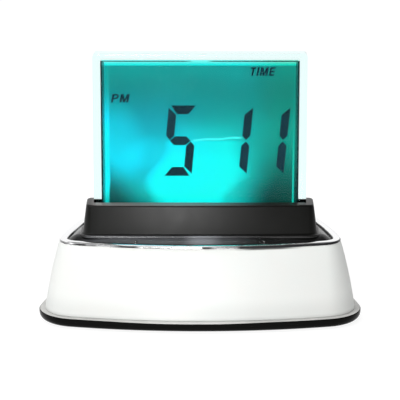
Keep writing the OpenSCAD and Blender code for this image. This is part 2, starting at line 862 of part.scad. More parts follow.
module case_screws() {
    color("dimgrey")
        at_corners(boss_in, boss_turns)
            translate([0, 0, screw_seat_z])
                screw(screw_r, screw_len);
}

module main_board() {
    color("darkgreen")
        difference() {
            slab(board_w, board_d, board_t, 0, bay_y, board_z);
            at_board_posts()
                rod(small_r + neck_play, board_t + 2 * over, 0, 0, board_z - over);
        }
}

module board_screws() {
    color("silver")
        at_board_posts()
            translate([0, 0, board_top])
                mirror([0, 0, 1])
                    screw(small_r, small_len);
}

module chip_blob() {
    dome = [for (i = [0:profile_steps]) let (a = 90 * i / profile_steps)
        [blob_r * cos(a), blob_h * sin(a)]];
    color("#101010")
        translate([blob_x, bay_y + blob_back, board_top])
            rotate_extrude()
                polygon(concat([[0, 0]], dome));
}

module crystal() {
    color("gainsboro")
        translate([crystal_x, bay_y, board_top + crystal_r])
            rotate([90, 0, 0])
                cylinder(r = crystal_r, h = crystal_len, center = true);
}

module capacitor() {
    color("darkslateblue")
        rod(cap_r, cap_h, cap_x, bay_y, board_top);
}

module ribbon_socket() {
    color("ivory")
        difference() {
            slab(ribbon_w + 2 * socket_side, socket_d, socket_h, 0, socket_y, board_top);
            slab(ribbon_w + 2 * socket_play, ribbon_t + 2 * socket_play, socket_deep + over,
                0, socket_y, board_top + socket_h - socket_deep);
        }
}

module light_switch() {
    color("#2a2a2a")
        union() {
            slab(light_switch_w, light_switch_w, light_switch_h, 0, light_y, board_top);
            rod(plunger_r, light_switch_h + plunger_h, 0, light_y, board_top);
        }
}

module housing() {
    inner_h = housing_h - flange_t;
    color("#f2f2ee")
        difference() {
            base_stack([for (i = [0:profile_steps]) let (s = i / profile_steps)
                [lean_in(s), plate_top + s * housing_h]]);
            // Hollow, which leaves the screw bosses and the pad behind the control panel
            difference() {
                base_stack(concat(
                    [[ledge_w + wall, plate_top - over]],
                    [for (i = [0:profile_steps]) let (s = inner_h / housing_h * i / profile_steps)
                        [lean_in(s) + wall, plate_top + s * housing_h]]));
                at_corners(boss_in, boss_turns)
                    rod(boss_r, housing_h, 0, 0, plate_boss_top + boss_gap);
                on_panel()
                    translate([0, 0, -panel_t])
                        linear_extrude(panel_t + wall)
                            round_outline(panel_w + 2 * (panel_flange_w + pad_edge),
                                panel_h + 2 * (panel_flange_w + pad_edge), panel_corner_r);
            }
            plan_prism(seat_in, housing_top - flange_t - over, flange_t + 2 * over);
            at_corners(boss_in, boss_turns)
                rod(screw_r + screw_play, screw_len + over, 0, 0, plate_boss_top - over);
            on_panel()
                translate([0, 0, -panel_t - over])
                    linear_extrude(panel_t + panel_recess + 2 * over)
                        round_outline(panel_w + 2 * panel_play, panel_h + 2 * panel_play, panel_corner_r);
            for (p = deck_screw_spots)
                rod(small_r + neck_play, flange_t + 2 * over, p.x, p.y, housing_top - flange_t - over);
        }
}

module rear_panel() {
    color("#26241f")
        on_panel()
            difference() {
                union() {
                    round_slab(panel_w, panel_h, panel_t, panel_corner_r, 0, 0, -panel_t);
                    round_slab(panel_w + 2 * panel_flange_w, panel_h + 2 * panel_flange_w, panel_flange_t,
                        panel_corner_r, 0, 0, panel_back);
                    for (sx = [-1, 1])
                        rod(key_post_r, panel_back - key_front + panel_flange_t / 2,
                            sx * key_post_x, 0, key_front);
                }
                for (i = [0:3])
                    rod(button_r + button_play, panel_t + panel_flange_t + 2 * over,
                        button_x(i), 0, panel_back - over);
                slab(knob_w + slide_travel + 2 * knob_play, knob_h + 2 * knob_play,
                    panel_t + panel_flange_t + 2 * over, slide_x, 0, panel_back - over);
                for (sx = [-1, 1])
                    rod(small_r + screw_play, small_len + over, sx * key_post_x, 0, key_front - over);
            }
}

module key_board() {
    color("darkgreen")
        on_panel()
            difference() {
                slab(key_board_w, panel_h, board_t, 0, 0, key_back);
                for (sx = [-1, 1])
                    rod(small_r + neck_play, board_t + 2 * over, sx * key_post_x, 0, key_back - over);
            }
}

module key_screws() {
    color("silver")
        on_panel()
            for (sx = [-1, 1])
                translate([sx * key_post_x, 0, key_back])
                    screw(small_r, small_len);
}

module key_switches() {
    color("#2a2a2a")
        on_panel()
            for (i = [0:3])
                union() {
                    slab(switch_w, switch_w, switch_h, button_x(i), 0, key_front);
                    rod(plunger_r, switch_h + plunger_h, button_x(i), 0, key_front);
                }
}

module alarm_switch() {
    color("silver")
        on_panel()
            difference() {
                slab(slide_body_w, slide_body_h, slide_body_t, slide_x, 0, key_front);
                slab(stem_w + slide_travel + 2 * knob_play, stem_h + 2 * stem_gap, slide_groove_deep + over,
                    slide_x, 0, key_front + slide_body_t - slide_groove_deep);
            }
}

module key_ribbon() {
    ribbon_front_y = bay_y + board_d / 2 - key_ribbon_lap;
    ribbon_len = key_back_y - key_ribbon_gap - ribbon_front_y;
    color("lightgrey")
        slab(key_ribbon_w, ribbon_len, key_ribbon_t,
            key_ribbon_x, ribbon_front_y + ribbon_len / 2, board_top);
}

module push_button(i) {
    color("#33302b")
        on_panel()
            translate([button_x(i), 0, 0])
                union() {
                    rod(button_r, button_proud - button_flange_z, 0, 0, button_flange_z);
                    rod(button_r + button_flange_w, button_flange_t, 0, 0, button_flange_z);
                    rod(button_r / 2, button_stem_h + button_flange_t, 0, 0, button_stem_z);
                }
}

module mode_button() {
    push_button(0);
}

module set_button() {
    push_button(1);
}

module up_button() {
    push_button(2);
}

module down_button() {
    push_button(3);
}

module alarm_knob() {
    groove = knob_w / 7;
    stem_foot = key_front + slide_body_t - slide_groove_deep + stem_gap;
    color("#33302b")
        on_panel()
            difference() {
                union() {
                    slab(knob_w, knob_h, knob_proud - knob_foot, slide_rest_x, 0, knob_foot);
                    slab(stem_w, stem_h, knob_foot - stem_foot + panel_flange_t,
                        slide_rest_x, 0, stem_foot);
                }
                for (k = [-1:1])
                    slab(groove, knob_h + 2 * over, knob_proud / 2 + over,
                        slide_rest_x + 2 * k * groove, 0, knob_proud / 2);
            }
}

module chrome_ring() {
    bead = [for (i = [0:profile_steps]) let (a = 180 * i / profile_steps)
        [ring_in + ring_w / 2 * (1 - cos(a)), housing_top + ring_base_h + ring_bead_h * sin(a)]];
    color("#dfe3e8")
        band(concat([[ring_in, housing_top]], bead, [[ring_in + ring_w, housing_top]]));
}

module deck() {
    roll = [for (i = [0:roll_steps]) let (a = 90 * i / roll_steps)
        [deck_in + deck_roll_w * (1 - cos(a)), deck_top - deck_roll_h * (1 - sin(a))]];
    color("#0e0d0d")
        difference() {
            union() {
                base_stack(concat([[deck_in, housing_top]], roll));
                holder_stack([[-plinth_w, deck_top - deck_wall / 2], [-plinth_w, plinth_top]]);
                for (sx = [-1, 1])
                    slab(lamp_post_w, guide_t, lamp_board_z - deck_top,
                        sx * (lamp_board_w - lamp_post_w) / 2, lamp_mid_y, deck_top);
            }
            plan_prism(seat_in, housing_top - over, deck_h - deck_wall + over);
            for (p = deck_screw_spots)
                rod(small_r + screw_play, deck_screw_len - flange_t + over + screw_play,
                    p.x, p.y, housing_top - over);
            // Way through for the display ribbon and the lamp leads
            slab(ribbon_opening_w, case_t - 2 * case_wall, deck_wall + plinth_h + 2 * over,
                0, slot_mid_y, deck_top - deck_wall - over);
            // Holes for the holder's screws and tabs
            for (sx = [-1, 1]) {
                rod(small_r + neck_play, deck_wall + plinth_h + 2 * over,
                    sx * holder_screw_x, holder_screw_y, deck_top - deck_wall - over);
                slab(tab_w + 2 * tab_play, tab_t + 2 * tab_play, deck_wall + plinth_h + 2 * over,
                    sx * holder_tab_x, holder_tab_y, deck_top - deck_wall - over);
            }
            // Opening for the light bar
            round_slab(light_w + 2 * light_play, light_d + 2 * light_play, deck_wall + 2 * over,
                light_corner_r + light_play, 0, light_y, deck_top - deck_wall - over);
        }
}

module deck_screws() {
    color("dimgrey")
        for (p = deck_screw_spots)
            translate([p.x, p.y, housing_top - flange_t])
                screw(small_r, deck_screw_len);
}

module light_button() {
    color("#1d1b1a")
        union() {
            round_slab(light_w, light_d, deck_top + light_proud - light_flange_z, light_corner_r,
                0, light_y, light_flange_z);
            round_slab(light_w + 2 * light_flange_w, light_d + 2 * light_flange_w, light_flange_t,
                light_corner_r + light_flange_w, 0, light_y, light_flange_z);
            rod(light_stem_r, light_flange_top - light_stem_z, 0, light_y, light_stem_z);
        }
}

module display_holder() {
    edge = [for (i = [0:roll_steps]) let (a = 90 * i / roll_steps)
        [holder_draft + holder_edge_r * (1 - cos(a)), holder_top - holder_edge_r * (1 - sin(a))]];
    color("#3a3c39")
        difference() {
            union() {
                holder_stack(concat([[0, plinth_top]], edge));
                for (sx = [-1, 1])
                    slab(tab_w, tab_t, deck_wall + plinth_h + over, sx * holder_tab_x, holder_tab_y,
                        deck_top - deck_wall);
            }
            slab(slot_w, slot_d, holder_h + 2 * over, 0, slot_mid_y, plinth_top - over);
            slab(slot_w + 2 * lug_w, slot_d, lug_h + 2 * case_play + over,
                0, slot_mid_y, plinth_top - over);
            for (sx = [-1, 1])
                rod(small_r + screw_play, small_len + over,
                    sx * holder_screw_x, holder_screw_y, plinth_top - over);
        }
}

module holder_screws() {
    color("dimgrey")
        for (sx = [-1, 1])
            translate([sx * holder_screw_x, holder_screw_y, holder_screw_seat_z])
                screw(small_r, small_len);
}

// Outline of the clear case, seen from the front
module case_outline() {
    translate([0, plinth_top + case_h / 2])
        round_outline(case_w, case_h, case_corner_r);
    translate([-case_w / 2, plinth_top])
        square([case_w, case_h / 2]);
}

module case_front() {
    color([0.85, 0.95, 0.97, 0.35])
        difference() {
            union() {
                upright(case_front_y, case_t - case_wall)
                    case_outline();
                upright_box(case_w + 2 * lug_w, lug_h, case_front_y, case_t - case_wall, plinth_top);
            }
            upright_box(pocket_w, glass_top + rim_play - plinth_top + over, pocket_y, case_t,
                plinth_top - over);
        }
}

module case_rear() {
    color([0.85, 0.95, 0.97, 0.35])
        upright(case_rear_y - case_wall, case_wall)
            case_outline();
}

module front_film() {
    color([0.4, 0.75, 0.75, 0.4])
        upright_box(lcd_w, lcd_h - ledge_h, pocket_y, film_t, glass_foot + ledge_h);
}

module front_glass() {
    color([0.4, 0.85, 0.85, 0.4])
        upright_box(lcd_w, lcd_h - ledge_h, front_glass_y, glass_t, glass_foot + ledge_h);
}

// One segment of a digit that leans to the right, named by the usual letters
module segment(name) {
    slant_share = tan(digit_slant);
    w = digit_w;
    h = digit_h;
    mid = h / 2;
    cut = 3 * bar_gap;
    left = bar_w + bar_gap;
    right = w - left;
    inner = w - bar_w;
    low = bar_h + bar_gap;
    rise = bar_h / 2 + bar_gap;
    tip = bar_w / 2;
    flat =
        name == "a" ? [[cut, h], [w - cut, h], [right, h - bar_h], [left, h - bar_h]] :
        name == "d" ? [[cut, 0], [w - cut, 0], [right, bar_h], [left, bar_h]] :
        name == "f" ? [[0, h - cut], [0, mid + rise], [tip, mid + bar_gap], [bar_w, mid + rise],
            [bar_w, h - low]] :
        name == "b" ? [[w, h - cut], [w, mid + rise], [w - tip, mid + bar_gap], [inner, mid + rise],
            [inner, h - low]] :
        name == "c" ? [[w, cut], [w, mid - rise], [w - tip, mid - bar_gap], [inner, mid - rise],
            [inner, low]] :
        [[tip, mid], [left, mid + bar_h / 2], [right, mid + bar_h / 2],
            [w - tip, mid], [right, mid - bar_h / 2], [left, mid - bar_h / 2]];
    polygon([for (p = flat) [p.x + (p.y - mid) * slant_share, p.y]]);
}

module digit(segments, x) {
    translate([x - digit_w / 2, digit_top - digit_h])
        for (name = segments)
            segment(name);
}

module lcd_segments() {
    color("#12394a")
        upright(cell_gap_y, cell_gap) {
            digit("afgcd", last_digit_x - minute_pitch - hour_pitch);
            digit("bc", last_digit_x - minute_pitch);
            digit("bc", last_digit_x);
        }
}

module rear_glass() {
    color([0.3, 0.8, 0.8, 0.6])
        upright_box(lcd_w, lcd_h, rear_glass_y, glass_t, glass_foot);
}

module rear_film() {
    color("#2b9f9c")
        upright_box(lcd_w, lcd_h - ledge_h, rear_film_y, film_t, glass_foot + ledge_h);
}

module light_guide() {
    color("#5fd6d8")
        upright_box(lcd_w, lcd_h, guide_y, guide_t, glass_foot);
}

module reflector() {
    color("white")
        upright_box(lcd_w, lcd_h, reflector_y, reflector_t, glass_foot);
}

module led_board() {
    color("darkgreen")
        slab(lamp_board_w, guide_t, lamp_board_t, 0, lamp_mid_y, lamp_board_z);
}

module leds() {
    color("#bff6ff")
        for (i = [0:lamp_count - 1])
            slab(lamp_w, lamp_share * guide_t, lamp_h,
                (i - (lamp_count - 1) / 2) * lamp_pitch, lamp_mid_y, lamp_board_top);
}

module led_leads() {
    color("firebrick")
        for (sx = [-1, 1])
            rod(lead_r, lamp_board_z - board_top, sx * lamp_lead_pitch / 2, lamp_mid_y, board_top);
}

module lcd_ribbon() {
    ribbon_foot = board_top + socket_h - socket_deep;
    color("#b8742c")
        upright_box(ribbon_w, glass_foot + ribbon_lap - ribbon_foot, ribbon_y, ribbon_t, ribbon_foot);
}

base_plate();
rubber_feet();
battery_door();
battery_cells();
battery_springs();
battery_plates();
battery_leads();
buzzer();
case_screws();
main_board();
board_screws();
chip_blob();
crystal();
capacitor();
ribbon_socket();
light_switch();
housing();
rear_panel();
key_board();
key_screws();
key_switches();
alarm_switch();
key_ribbon();
mode_button();
set_button();
up_button();
down_button();
alarm_knob();
chrome_ring();
deck();
deck_screws();
light_button();
display_holder();
holder_screws();
case_front();
case_rear();
front_film();
front_glass();
lcd_segments();
rear_glass();
rear_film();
light_guide();
reflector();
led_board();
leds();
led_leads();
lcd_ribbon();
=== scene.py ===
"""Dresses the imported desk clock: fine shells, a lit display and finished surfaces.

Lengths are in metres. X runs to the right, Y to the back and Z up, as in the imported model.
"""

import json
import logging
import math
from collections.abc import Sequence
from dataclasses import dataclass, field
from enum import Enum

import bmesh
import bpy
from mathutils import Matrix, Vector


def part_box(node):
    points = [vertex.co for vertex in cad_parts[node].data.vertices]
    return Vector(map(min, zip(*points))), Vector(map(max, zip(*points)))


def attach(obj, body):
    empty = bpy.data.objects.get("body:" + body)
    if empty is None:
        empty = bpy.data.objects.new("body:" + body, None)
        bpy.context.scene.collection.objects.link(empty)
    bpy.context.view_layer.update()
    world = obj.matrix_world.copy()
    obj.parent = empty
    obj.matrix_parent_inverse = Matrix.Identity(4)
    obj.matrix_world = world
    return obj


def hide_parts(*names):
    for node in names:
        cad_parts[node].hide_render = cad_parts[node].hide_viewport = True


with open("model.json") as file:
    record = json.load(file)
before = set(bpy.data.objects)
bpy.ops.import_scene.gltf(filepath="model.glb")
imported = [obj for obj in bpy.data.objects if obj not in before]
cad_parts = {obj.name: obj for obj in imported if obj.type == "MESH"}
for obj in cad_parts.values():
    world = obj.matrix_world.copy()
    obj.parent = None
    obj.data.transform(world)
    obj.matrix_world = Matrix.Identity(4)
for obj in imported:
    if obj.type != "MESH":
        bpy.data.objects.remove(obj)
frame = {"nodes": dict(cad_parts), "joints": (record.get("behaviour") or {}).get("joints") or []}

LOG = logging.getLogger("clock")
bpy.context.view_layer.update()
MM = 0.001
HALF_TURN = math.pi
QUARTER_TURN = math.pi / 2
UP = Vector((0, 0, 1))
SHARP_SHADE = math.radians(32)
SHARP_EDGE = math.radians(40)
OVERRUN = 1 * MM
NOISE_MEAN = 0.5
SMOOTH, SOFT, FINE, FINEST = 1, 2, 3, 4

Color = tuple[float, float, float]
WHITE: Color = (1.0, 1.0, 1.0)
Outline = list[Vector]
Span = tuple[float, float]


def span(start: float, end: float) -> Span:
    """Two lengths, given in millimetres."""
    return (start * MM, end * MM)


class Body(Enum):
    """The bodies that new pieces ride on."""

    ROOT = "root"
    LIGHT = "light_button"
    MODE = "mode_button"
    SET = "set_button"
    UP = "up_button"
    DOWN = "down_button"


class Slot(Enum):
    """The record's material slots."""

    BLACK = "black_plastic"
    WHITE = "white_plastic"
    CHROME = "chrome_trim"
    DECK = "gloss_deck"
    BLOCK = "satin_block"
    CLEAR = "clear_plastic"
    GLASS = "lcd_glass"
    FILM = "lcd_film"
    DARK = "lcd_dark"
    GLOW = "guide_glow"
    SHEET = "white_sheet"
    BOARD = "board_green"
    STEEL = "steel"
    SPRING = "spring_wire"
    BRASS = "brass_disc"
    CELL = "cell_sleeve"
    RUBBER = "rubber"
    PART = "dark_part"
    IVORY = "ivory_plastic"
    WIRE = "red_wire"
    RIBBON = "ribbon"
    CABLE = "grey_ribbon"
    BUTTON = "button_plastic"


class Cut(Enum):
    """What a tool does to a piece."""

    AWAY = "DIFFERENCE"
    JOIN = "UNION"


class Signal:
    """A shader socket. Arithmetic on it adds Math nodes."""

    def __init__(self, shader: "Shader", socket: bpy.types.NodeSocket) -> None:
        """Wraps a socket.

        Args:
            shader: The material under construction.
            socket: An output socket of one of its nodes.
        """
        self.shader = shader
        self.socket = socket

    def _math(self, operation: str, *values: "Signal | float") -> "Signal":
        """Adds a Math node.

        Args:
            operation: The node's operation.
            values: Its inputs, in order.

        Returns:
            The node's result.
        """
        return self.shader.node("ShaderNodeMath", {"operation": operation}, dict(enumerate(values)))

    def __add__(self, other: "Signal | float") -> "Signal":
        """Sum with another value."""
        return self._math("ADD", self, other)

    def __radd__(self, other: float) -> "Signal":
        """Sum with a number on the left."""
        return self._math("ADD", other, self)

    def __sub__(self, other: "Signal | float") -> "Signal":
        """Difference with another value."""
        return self._math("SUBTRACT", self, other)

    def __rsub__(self, other: float) -> "Signal":
        """A number less this value."""
        return self._math("SUBTRACT", other, self)

    def __mul__(self, other: "Signal | float") -> "Signal":
        """Product with another value."""
        return self._math("MULTIPLY", self, other)

    def __rmul__(self, other: float) -> "Signal":
        """Product with a number on the left."""
        return self._math("MULTIPLY", other, self)

    def __truediv__(self, other: "Signal | float") -> "Signal":
        """Quotient with another value."""
        return self._math("DIVIDE", self, other)

    def __rtruediv__(self, other: float) -> "Signal":
        """A number over this value."""
        return self._math("DIVIDE", other, self)

    def __abs__(self) -> "Signal":
        """Size without sign."""
        return self._math("ABSOLUTE", self)

    def wave(self) -> "Signal":
        """Sine of this value."""
        return self._math("SINE", self)

    def lower_of(self, other: "Signal | float") -> "Signal":
        """The lesser of two values."""
        return self._math("MINIMUM", self, other)

    def higher_of(self, other: "Signal | float") -> "Signal":
        """The greater of two values."""
        return self._math("MAXIMUM", self, other)

    def step(self, start: "Signal | float", end: "Signal | float") -> "Signal":
        """Smooth climb from 0 at one value to 1 at another.

        Args:
            start: Where the climb begins. It may lie above the end, for a fall.
            end: Where the climb is complete.

        Returns:
            A value from 0 to 1.
        """
        settings = {"interpolation_type": "SMOOTHSTEP"}
        inputs = {"Value": self, "From Min": start, "From Max": end, "To Min": 0.0, "To Max": 1.0}
        return self.shader.node("ShaderNodeMapRange", settings, inputs)


class Shader:
    """The node tree of one material or world."""

    def __init__(self, owner: bpy.types.Material | bpy.types.World) -> None:
        """Starts an empty tree.

        Args:
            owner: The new material or world.
        """
        owner.use_nodes = True
        self.owner = owner
        self.tree = owner.node_tree
        self.tree.nodes.clear()

    @classmethod
    def named(cls, name: str) -> "Shader":
        """The tree of a new material."""
        return cls(bpy.data.materials.new(name))

    def node(
        self,
        kind: str,
        settings: dict | None = None,
        inputs: dict | None = None,
        output: int | str = 0,
    ) -> Signal:
        """Adds one node.

        Args:
            kind: The node's type.
            settings: Its properties, set first.
            inputs: Values or signals by socket name or number.
            output: The socket that is handed back.

        Returns:
            That output as a signal.
        """
        made = self.tree.nodes.new(kind)
        for key, value in (settings or {}).items():
            setattr(made, key, value)
        for key, value in (inputs or {}).items():
            if isinstance(value, Signal):
                self.tree.links.new(value.socket, made.inputs[key])
            else:
                made.inputs[key].default_value = value
        return Signal(self, made.outputs[output])

    def place(self) -> Signal:
        """Place on the piece, in the model's own axes."""
        return self.node("ShaderNodeTexCoord", output="Object")

    def axes(self) -> tuple[Signal, Signal, Signal]:
        """X, Y and Z of the place on the piece."""
        return self.parts(self.place())

    def parts(self, vector: Signal) -> tuple[Signal, Signal, Signal]:
        """X, Y and Z of a vector."""
        split = self.node("ShaderNodeSeparateXYZ", inputs={0: vector})
        return tuple(Signal(self, out) for out in split.socket.node.outputs)

    def seen_by(self, *kinds: str) -> Signal:
        """1 for the named kinds of ray, 0 for all others."""
        rays = self.node("ShaderNodeLightPath").socket.node
        signals = [Signal(self, rays.outputs[f"Is {kind} Ray"]) for kind in kinds]
        for other in signals[1:]:
            signals[0] = signals[0].higher_of(other)
        return signals[0]

    def stretched(self, scale: tuple[float, float, float]) -> Signal:
        """Place with each axis times a factor, for drawn-out patterns."""
        inputs = {0: self.place(), 1: scale}
        return self.node("ShaderNodeVectorMath", {"operation": "MULTIPLY"}, inputs)

    def noise(self, size: float, detail: float = SOFT, at: Signal | None = None) -> Signal:
        """Soft noise.

        Args:
            size: Length of its largest features.
            detail: Number of finer layers.
            at: The place that it follows, the plain one if left out.

        Returns:
            A value round 0.5.
        """
        inputs = {"Vector": at or self.place(), "Scale": 1 / size, "Detail": detail}
        return self.node("ShaderNodeTexNoise", inputs=inputs)

    def flakes(self, size: float) -> Signal:
        """Distance to the nearest point of a scattered set, in shares of the spacing."""
        return self.node("ShaderNodeTexVoronoi", inputs={"Vector": self.place(), "Scale": 1 / size})

    def blend(self, mask: Signal | float, first: Signal | Color, second: Signal | Color) -> Signal:
        """Mixes two colours.

        Args:
            mask: 0 for the first colour, 1 for the second.
            first: A colour or a colour signal.
            second: Another.

        Returns:
            The mixed colour.
        """
        factor, from_color, to_color = 0, 6, 7
        low, high = (c if isinstance(c, Signal) else opaque(c) for c in (first, second))
        inputs = {factor: mask, from_color: low, to_color: high}
        return self.node("ShaderNodeMix", {"data_type": "RGBA"}, inputs, output=2)

    def bump(self, height: Signal, depth: float) -> Signal:
        """Surface normal of a height pattern of the given depth."""
        inputs = {"Distance": depth, "Height": height}
        return self.node("ShaderNodeBump", inputs=inputs, output="Normal")

    def surface(self, inputs: dict) -> bpy.types.Material:
        """Adds the surface shader and closes the tree.

        Args:
            inputs: The surface's sockets by name.

        Returns:
            The finished material.
        """
        self.close(self.node("ShaderNodeBsdfPrincipled", inputs=inputs))
        return self.owner

    def close(self, shade: Signal) -> None:
        """Joins the last shader to the tree's output."""
        kind = "World" if isinstance(self.owner, bpy.types.World) else "Material"
        out = self.tree.nodes.new(f"ShaderNodeOutput{kind}")
        self.tree.links.new(shade.socket, out.inputs["Surface"])


def opaque(color: Color) -> tuple[float, float, float, float]:
    """Colour with full cover, its parts kept at most 1."""
    return (*(min(part, 1.0) for part in color), 1.0)


def scaled(color: Color, gain: float) -> Color:
    """Colour times a factor."""
    return tuple(part * gain for part in color)


@dataclass(frozen=True)
class Moulding:
    """A moulded plastic: a drifting colour, uneven sheen and a fine grain."""

    slot: Slot
    color: Color
    rough: float = 0.4
    drift: float = 0.12
    sheen_drift: float = 0.1
    grain: float = 0.5 * MM
    depth: float = 0.02 * MM
    gloss: float = 0.5
    cloud: float = 22 * MM
    smudge: float = 6 * MM
    least_sheen_patch: float = 0.75
    sheen_patch_drift: float = 0.5

    def paint(self) -> bpy.types.Material:
        """Builds the material.

        Returns:
            The material, named after its slot.
        """
        shader = Shader.named(self.slot.value)
        clouds = shader.noise(self.cloud, FINE)
        smudges = shader.noise(self.smudge, FINEST)
        grain = shader.noise(self.grain, FINE)
        darker, paler = scaled(self.color, 1 - self.drift), scaled(self.color, 1 + self.drift)
        color = shader.blend(clouds, darker, paler)
        unevenness = (smudges - NOISE_MEAN) * self.sheen_drift
        unevenness = unevenness + (grain - NOISE_MEAN) * self.sheen_drift / 2
        # The patches set the uneven strength of the painted light that a subclass adds.
        return shader.surface({
            "Base Color": self.with_painted_light(shader, color, self.least_sheen_patch + smudges * self.sheen_patch_drift),
            "Roughness": self.rough + unevenness,
            "Specular IOR Level": self.gloss,
            "Normal": shader.bump(self.relief(shader, grain), 1.0),
        })

    def with_painted_light(self, shader: Shader, color: Signal, patches: Signal) -> Signal:
        """The colour with its painted light, of which a plain moulding has none."""
        return color

    def relief(self, shader: Shader, grain: Signal) -> Signal:
        """Height of the surface's pattern, in metres."""
        return grain * self.depth


@dataclass(frozen=True)
class FootMoulding(Moulding):
    """The foot plate's black moulding, with a painted pale reflection of the housing on its ledge, out
    to its edge in mid front.
    """

    top: float = 0.0
    painted_sheen: Color = (0.7, 0.7, 0.68)
    edge: float = 0.3 * MM
    skim: float = 0.04 * MM
    soft: float = 0.03 * MM
    ledge_sheen: float = 0.85
    middle_sheen: float = 0.15
    middle_left: Span = span(-42, -12)
    middle_right: Span = span(30, 4)
    middle_front: Span = span(-15, -28)

    def with_painted_light(self, shader: Shader, color: Signal, patches: Signal) -> Signal:
        """The colour, with a painted pale reflection of the housing on the ledge round it.

        Args:
            shader: The material under construction.
            color: Its plain colour.
            patches: Uneven strength of the painted light.

        Returns:
            The colour with its painted light.
        """
        x, y, z = shader.axes()
        # Painted pale reflection of the housing on the ledge, reaching out to the edge in mid front.
        middle = x.step(*self.middle_left) * x.step(*self.middle_right) * y.step(*self.middle_front)
        reach = self.top - self.skim - middle * (self.edge - self.skim)
        ledge = z.step(reach, reach + self.soft) * (self.ledge_sheen + middle * self.middle_sheen)
        return shader.blend(ledge * patches, color, self.painted_sheen)


@dataclass(frozen=True)
class DeckMoulding(Moulding):
    """The deck's glossy moulding, with a painted sheen on its front, strongest in a painted highlight in
    its middle.
    """

    front: float = 0.0
    painted_sheen: Color = (0.24, 0.25, 0.27)
    soft: float = 1 * MM
    sheen_share: float = 0.3
    sheen_x: Span = span(28, 4)
    spot_sheen: float = 0.6
    spot_x: float = 1 * MM
    spot_fall: Span = span(9, 2)

    def with_painted_light(self, shader: Shader, color: Signal, patches: Signal) -> Signal:
        """The colour, with a painted sheen in front of the block, weaker to the right.

        Args:
            shader: The material under construction.
            color: Its plain colour.
            patches: Uneven strength of the painted light.

        Returns:
            The colour with its painted light.
        """
        x, y, _ = shader.axes()
        # Painted sheen in front of the block, weaker to the right, with a painted highlight spot in the
        # middle.
        reach = y.step(self.front + self.soft, self.front - self.soft)
        spot = abs(x - self.spot_x).step(*self.spot_fall)
        strength = self.sheen_share * x.step(*self.sheen_x) + self.spot_sheen * spot
        return shader.blend(reach * strength * patches, color, self.painted_sheen)


@dataclass(frozen=True)
class BlockMoulding(Moulding):
    """The holder block's satin moulding: a painted highlight along the upper lip, on faces that bow out
    a little.
    """

    top: float = 0.0
    lip: float = 0.35 * MM
    painted_sheen: Color = (0.24, 0.22, 0.215)
    ends: Span = span(45, 41)
    fade: float = 0.9
    fade_x: Span = span(-11, 30)
    bow_x: float = 1.6
    bow_z: float = 8.0
    middle: float = 43 * MM

    def with_painted_light(self, shader: Shader, color: Signal, patches: Signal) -> Signal:
        """The colour, with a painted highlight along the upper lip, weaker to the right.

        Args:
            shader: The material under construction.
            color: Its plain colour.
            patches: Uneven strength of the painted light.

        Returns:
            The colour with its painted light.
        """
        x, _, z = shader.axes()
        # Painted highlight along the upper lip, away from the ends and fading to the right.
        sheen_share = z.step(self.top - self.lip, self.top) * abs(x).step(*self.ends) * patches
        return shader.blend(sheen_share * (1 - self.fade * x.step(*self.fade_x)), color, self.painted_sheen)

    def relief(self, shader: Shader, grain: Signal) -> Signal:
        """Height of the grain and of the faces' slight bow, in metres."""
        x, _, z = shader.axes()
        rise = z - self.middle
        return grain * self.depth - x * x * self.bow_x - rise * rise * self.bow_z


@dataclass(frozen=True)
class Pearl:
    """The housing's pearl paint: clouds and fine flakes under a clear coat, with painted shade near the
    foot and a painted shadow under the ring.
    """

    low: float
    top: float
    slot: Slot = Slot.WHITE
    warm: Color = (0.86, 0.85, 0.82)
    cool: Color = (0.83, 0.87, 0.85)
    cloud: float = 14 * MM
    flake: Color = (0.9, 0.9, 0.88)
    flake_size: float = 0.35 * MM
    flake_rim: Span = (0.3, 0.1)
    flake_share: float = 0.5
    peel: float = 1.8 * MM
    peel_depth: float = 0.02 * MM
    rough: float = 0.42
    cloud_rough: float = 0.12
    flake_rough: float = 0.06
    coat: float = 0.15
    coat_drift: float = 0.1
    coat_rough: float = 0.3
    shade_tone: Color = (0.0, 0.0, 0.0)
    foot_shade: float = 0.12
    foot_rise: Span = span(9.6, 1.6)
    corner_shade: float = 0.2
    corner_rise: Span = span(1.8, 0)
    ring_shadow: float = 0.85
    seam_rise: Span = span(-0.9, -0.3)
    seam_left: Span = span(12, 22)
    seam_right: Span = span(44, 32)

    def paint(self) -> bpy.types.Material:
        """Builds the material.

        Returns:
            The material, named after its slot.
        """
        shader = Shader.named(self.slot.value)
        clouds = shader.noise(self.cloud, FINE)
        peel = shader.noise(self.peel, SOFT)
        sparkle = shader.flakes(self.flake_size).step(*self.flake_rim)
        paint = shader.blend(clouds, self.warm, self.cool)
        paint = shader.blend(sparkle * self.flake_share, paint, self.flake)
        rough = self.rough + (clouds - NOISE_MEAN) * self.cloud_rough
        return shader.surface({
            "Base Color": shader.blend(self.painted_shade(shader), paint, self.shade_tone),
            "Roughness": rough - sparkle * self.flake_rough,
            "Coat Weight": self.coat + (peel - NOISE_MEAN) * self.coat_drift,
            "Coat Roughness": self.coat_rough,
            "Normal": shader.bump(peel, self.peel_depth),
        })

    def painted_shade(self, shader: Shader) -> Signal:
        """Painted shade near the foot, and a painted shadow under the ring where the seam is widest."""
        x, _, z = shader.axes()
        # Painted shade that darkens the paint towards the foot, and a painted shadow under the ring on
        # the right side.
        rise = z - self.low
        foot = self.foot_shade * rise.step(*self.foot_rise)
        foot = foot + self.corner_shade * rise.step(*self.corner_rise)
        seam = (z - self.top).step(*self.seam_rise)
        seam = seam * x.step(*self.seam_left) * x.step(*self.seam_right)
        return foot + seam * self.ring_shadow


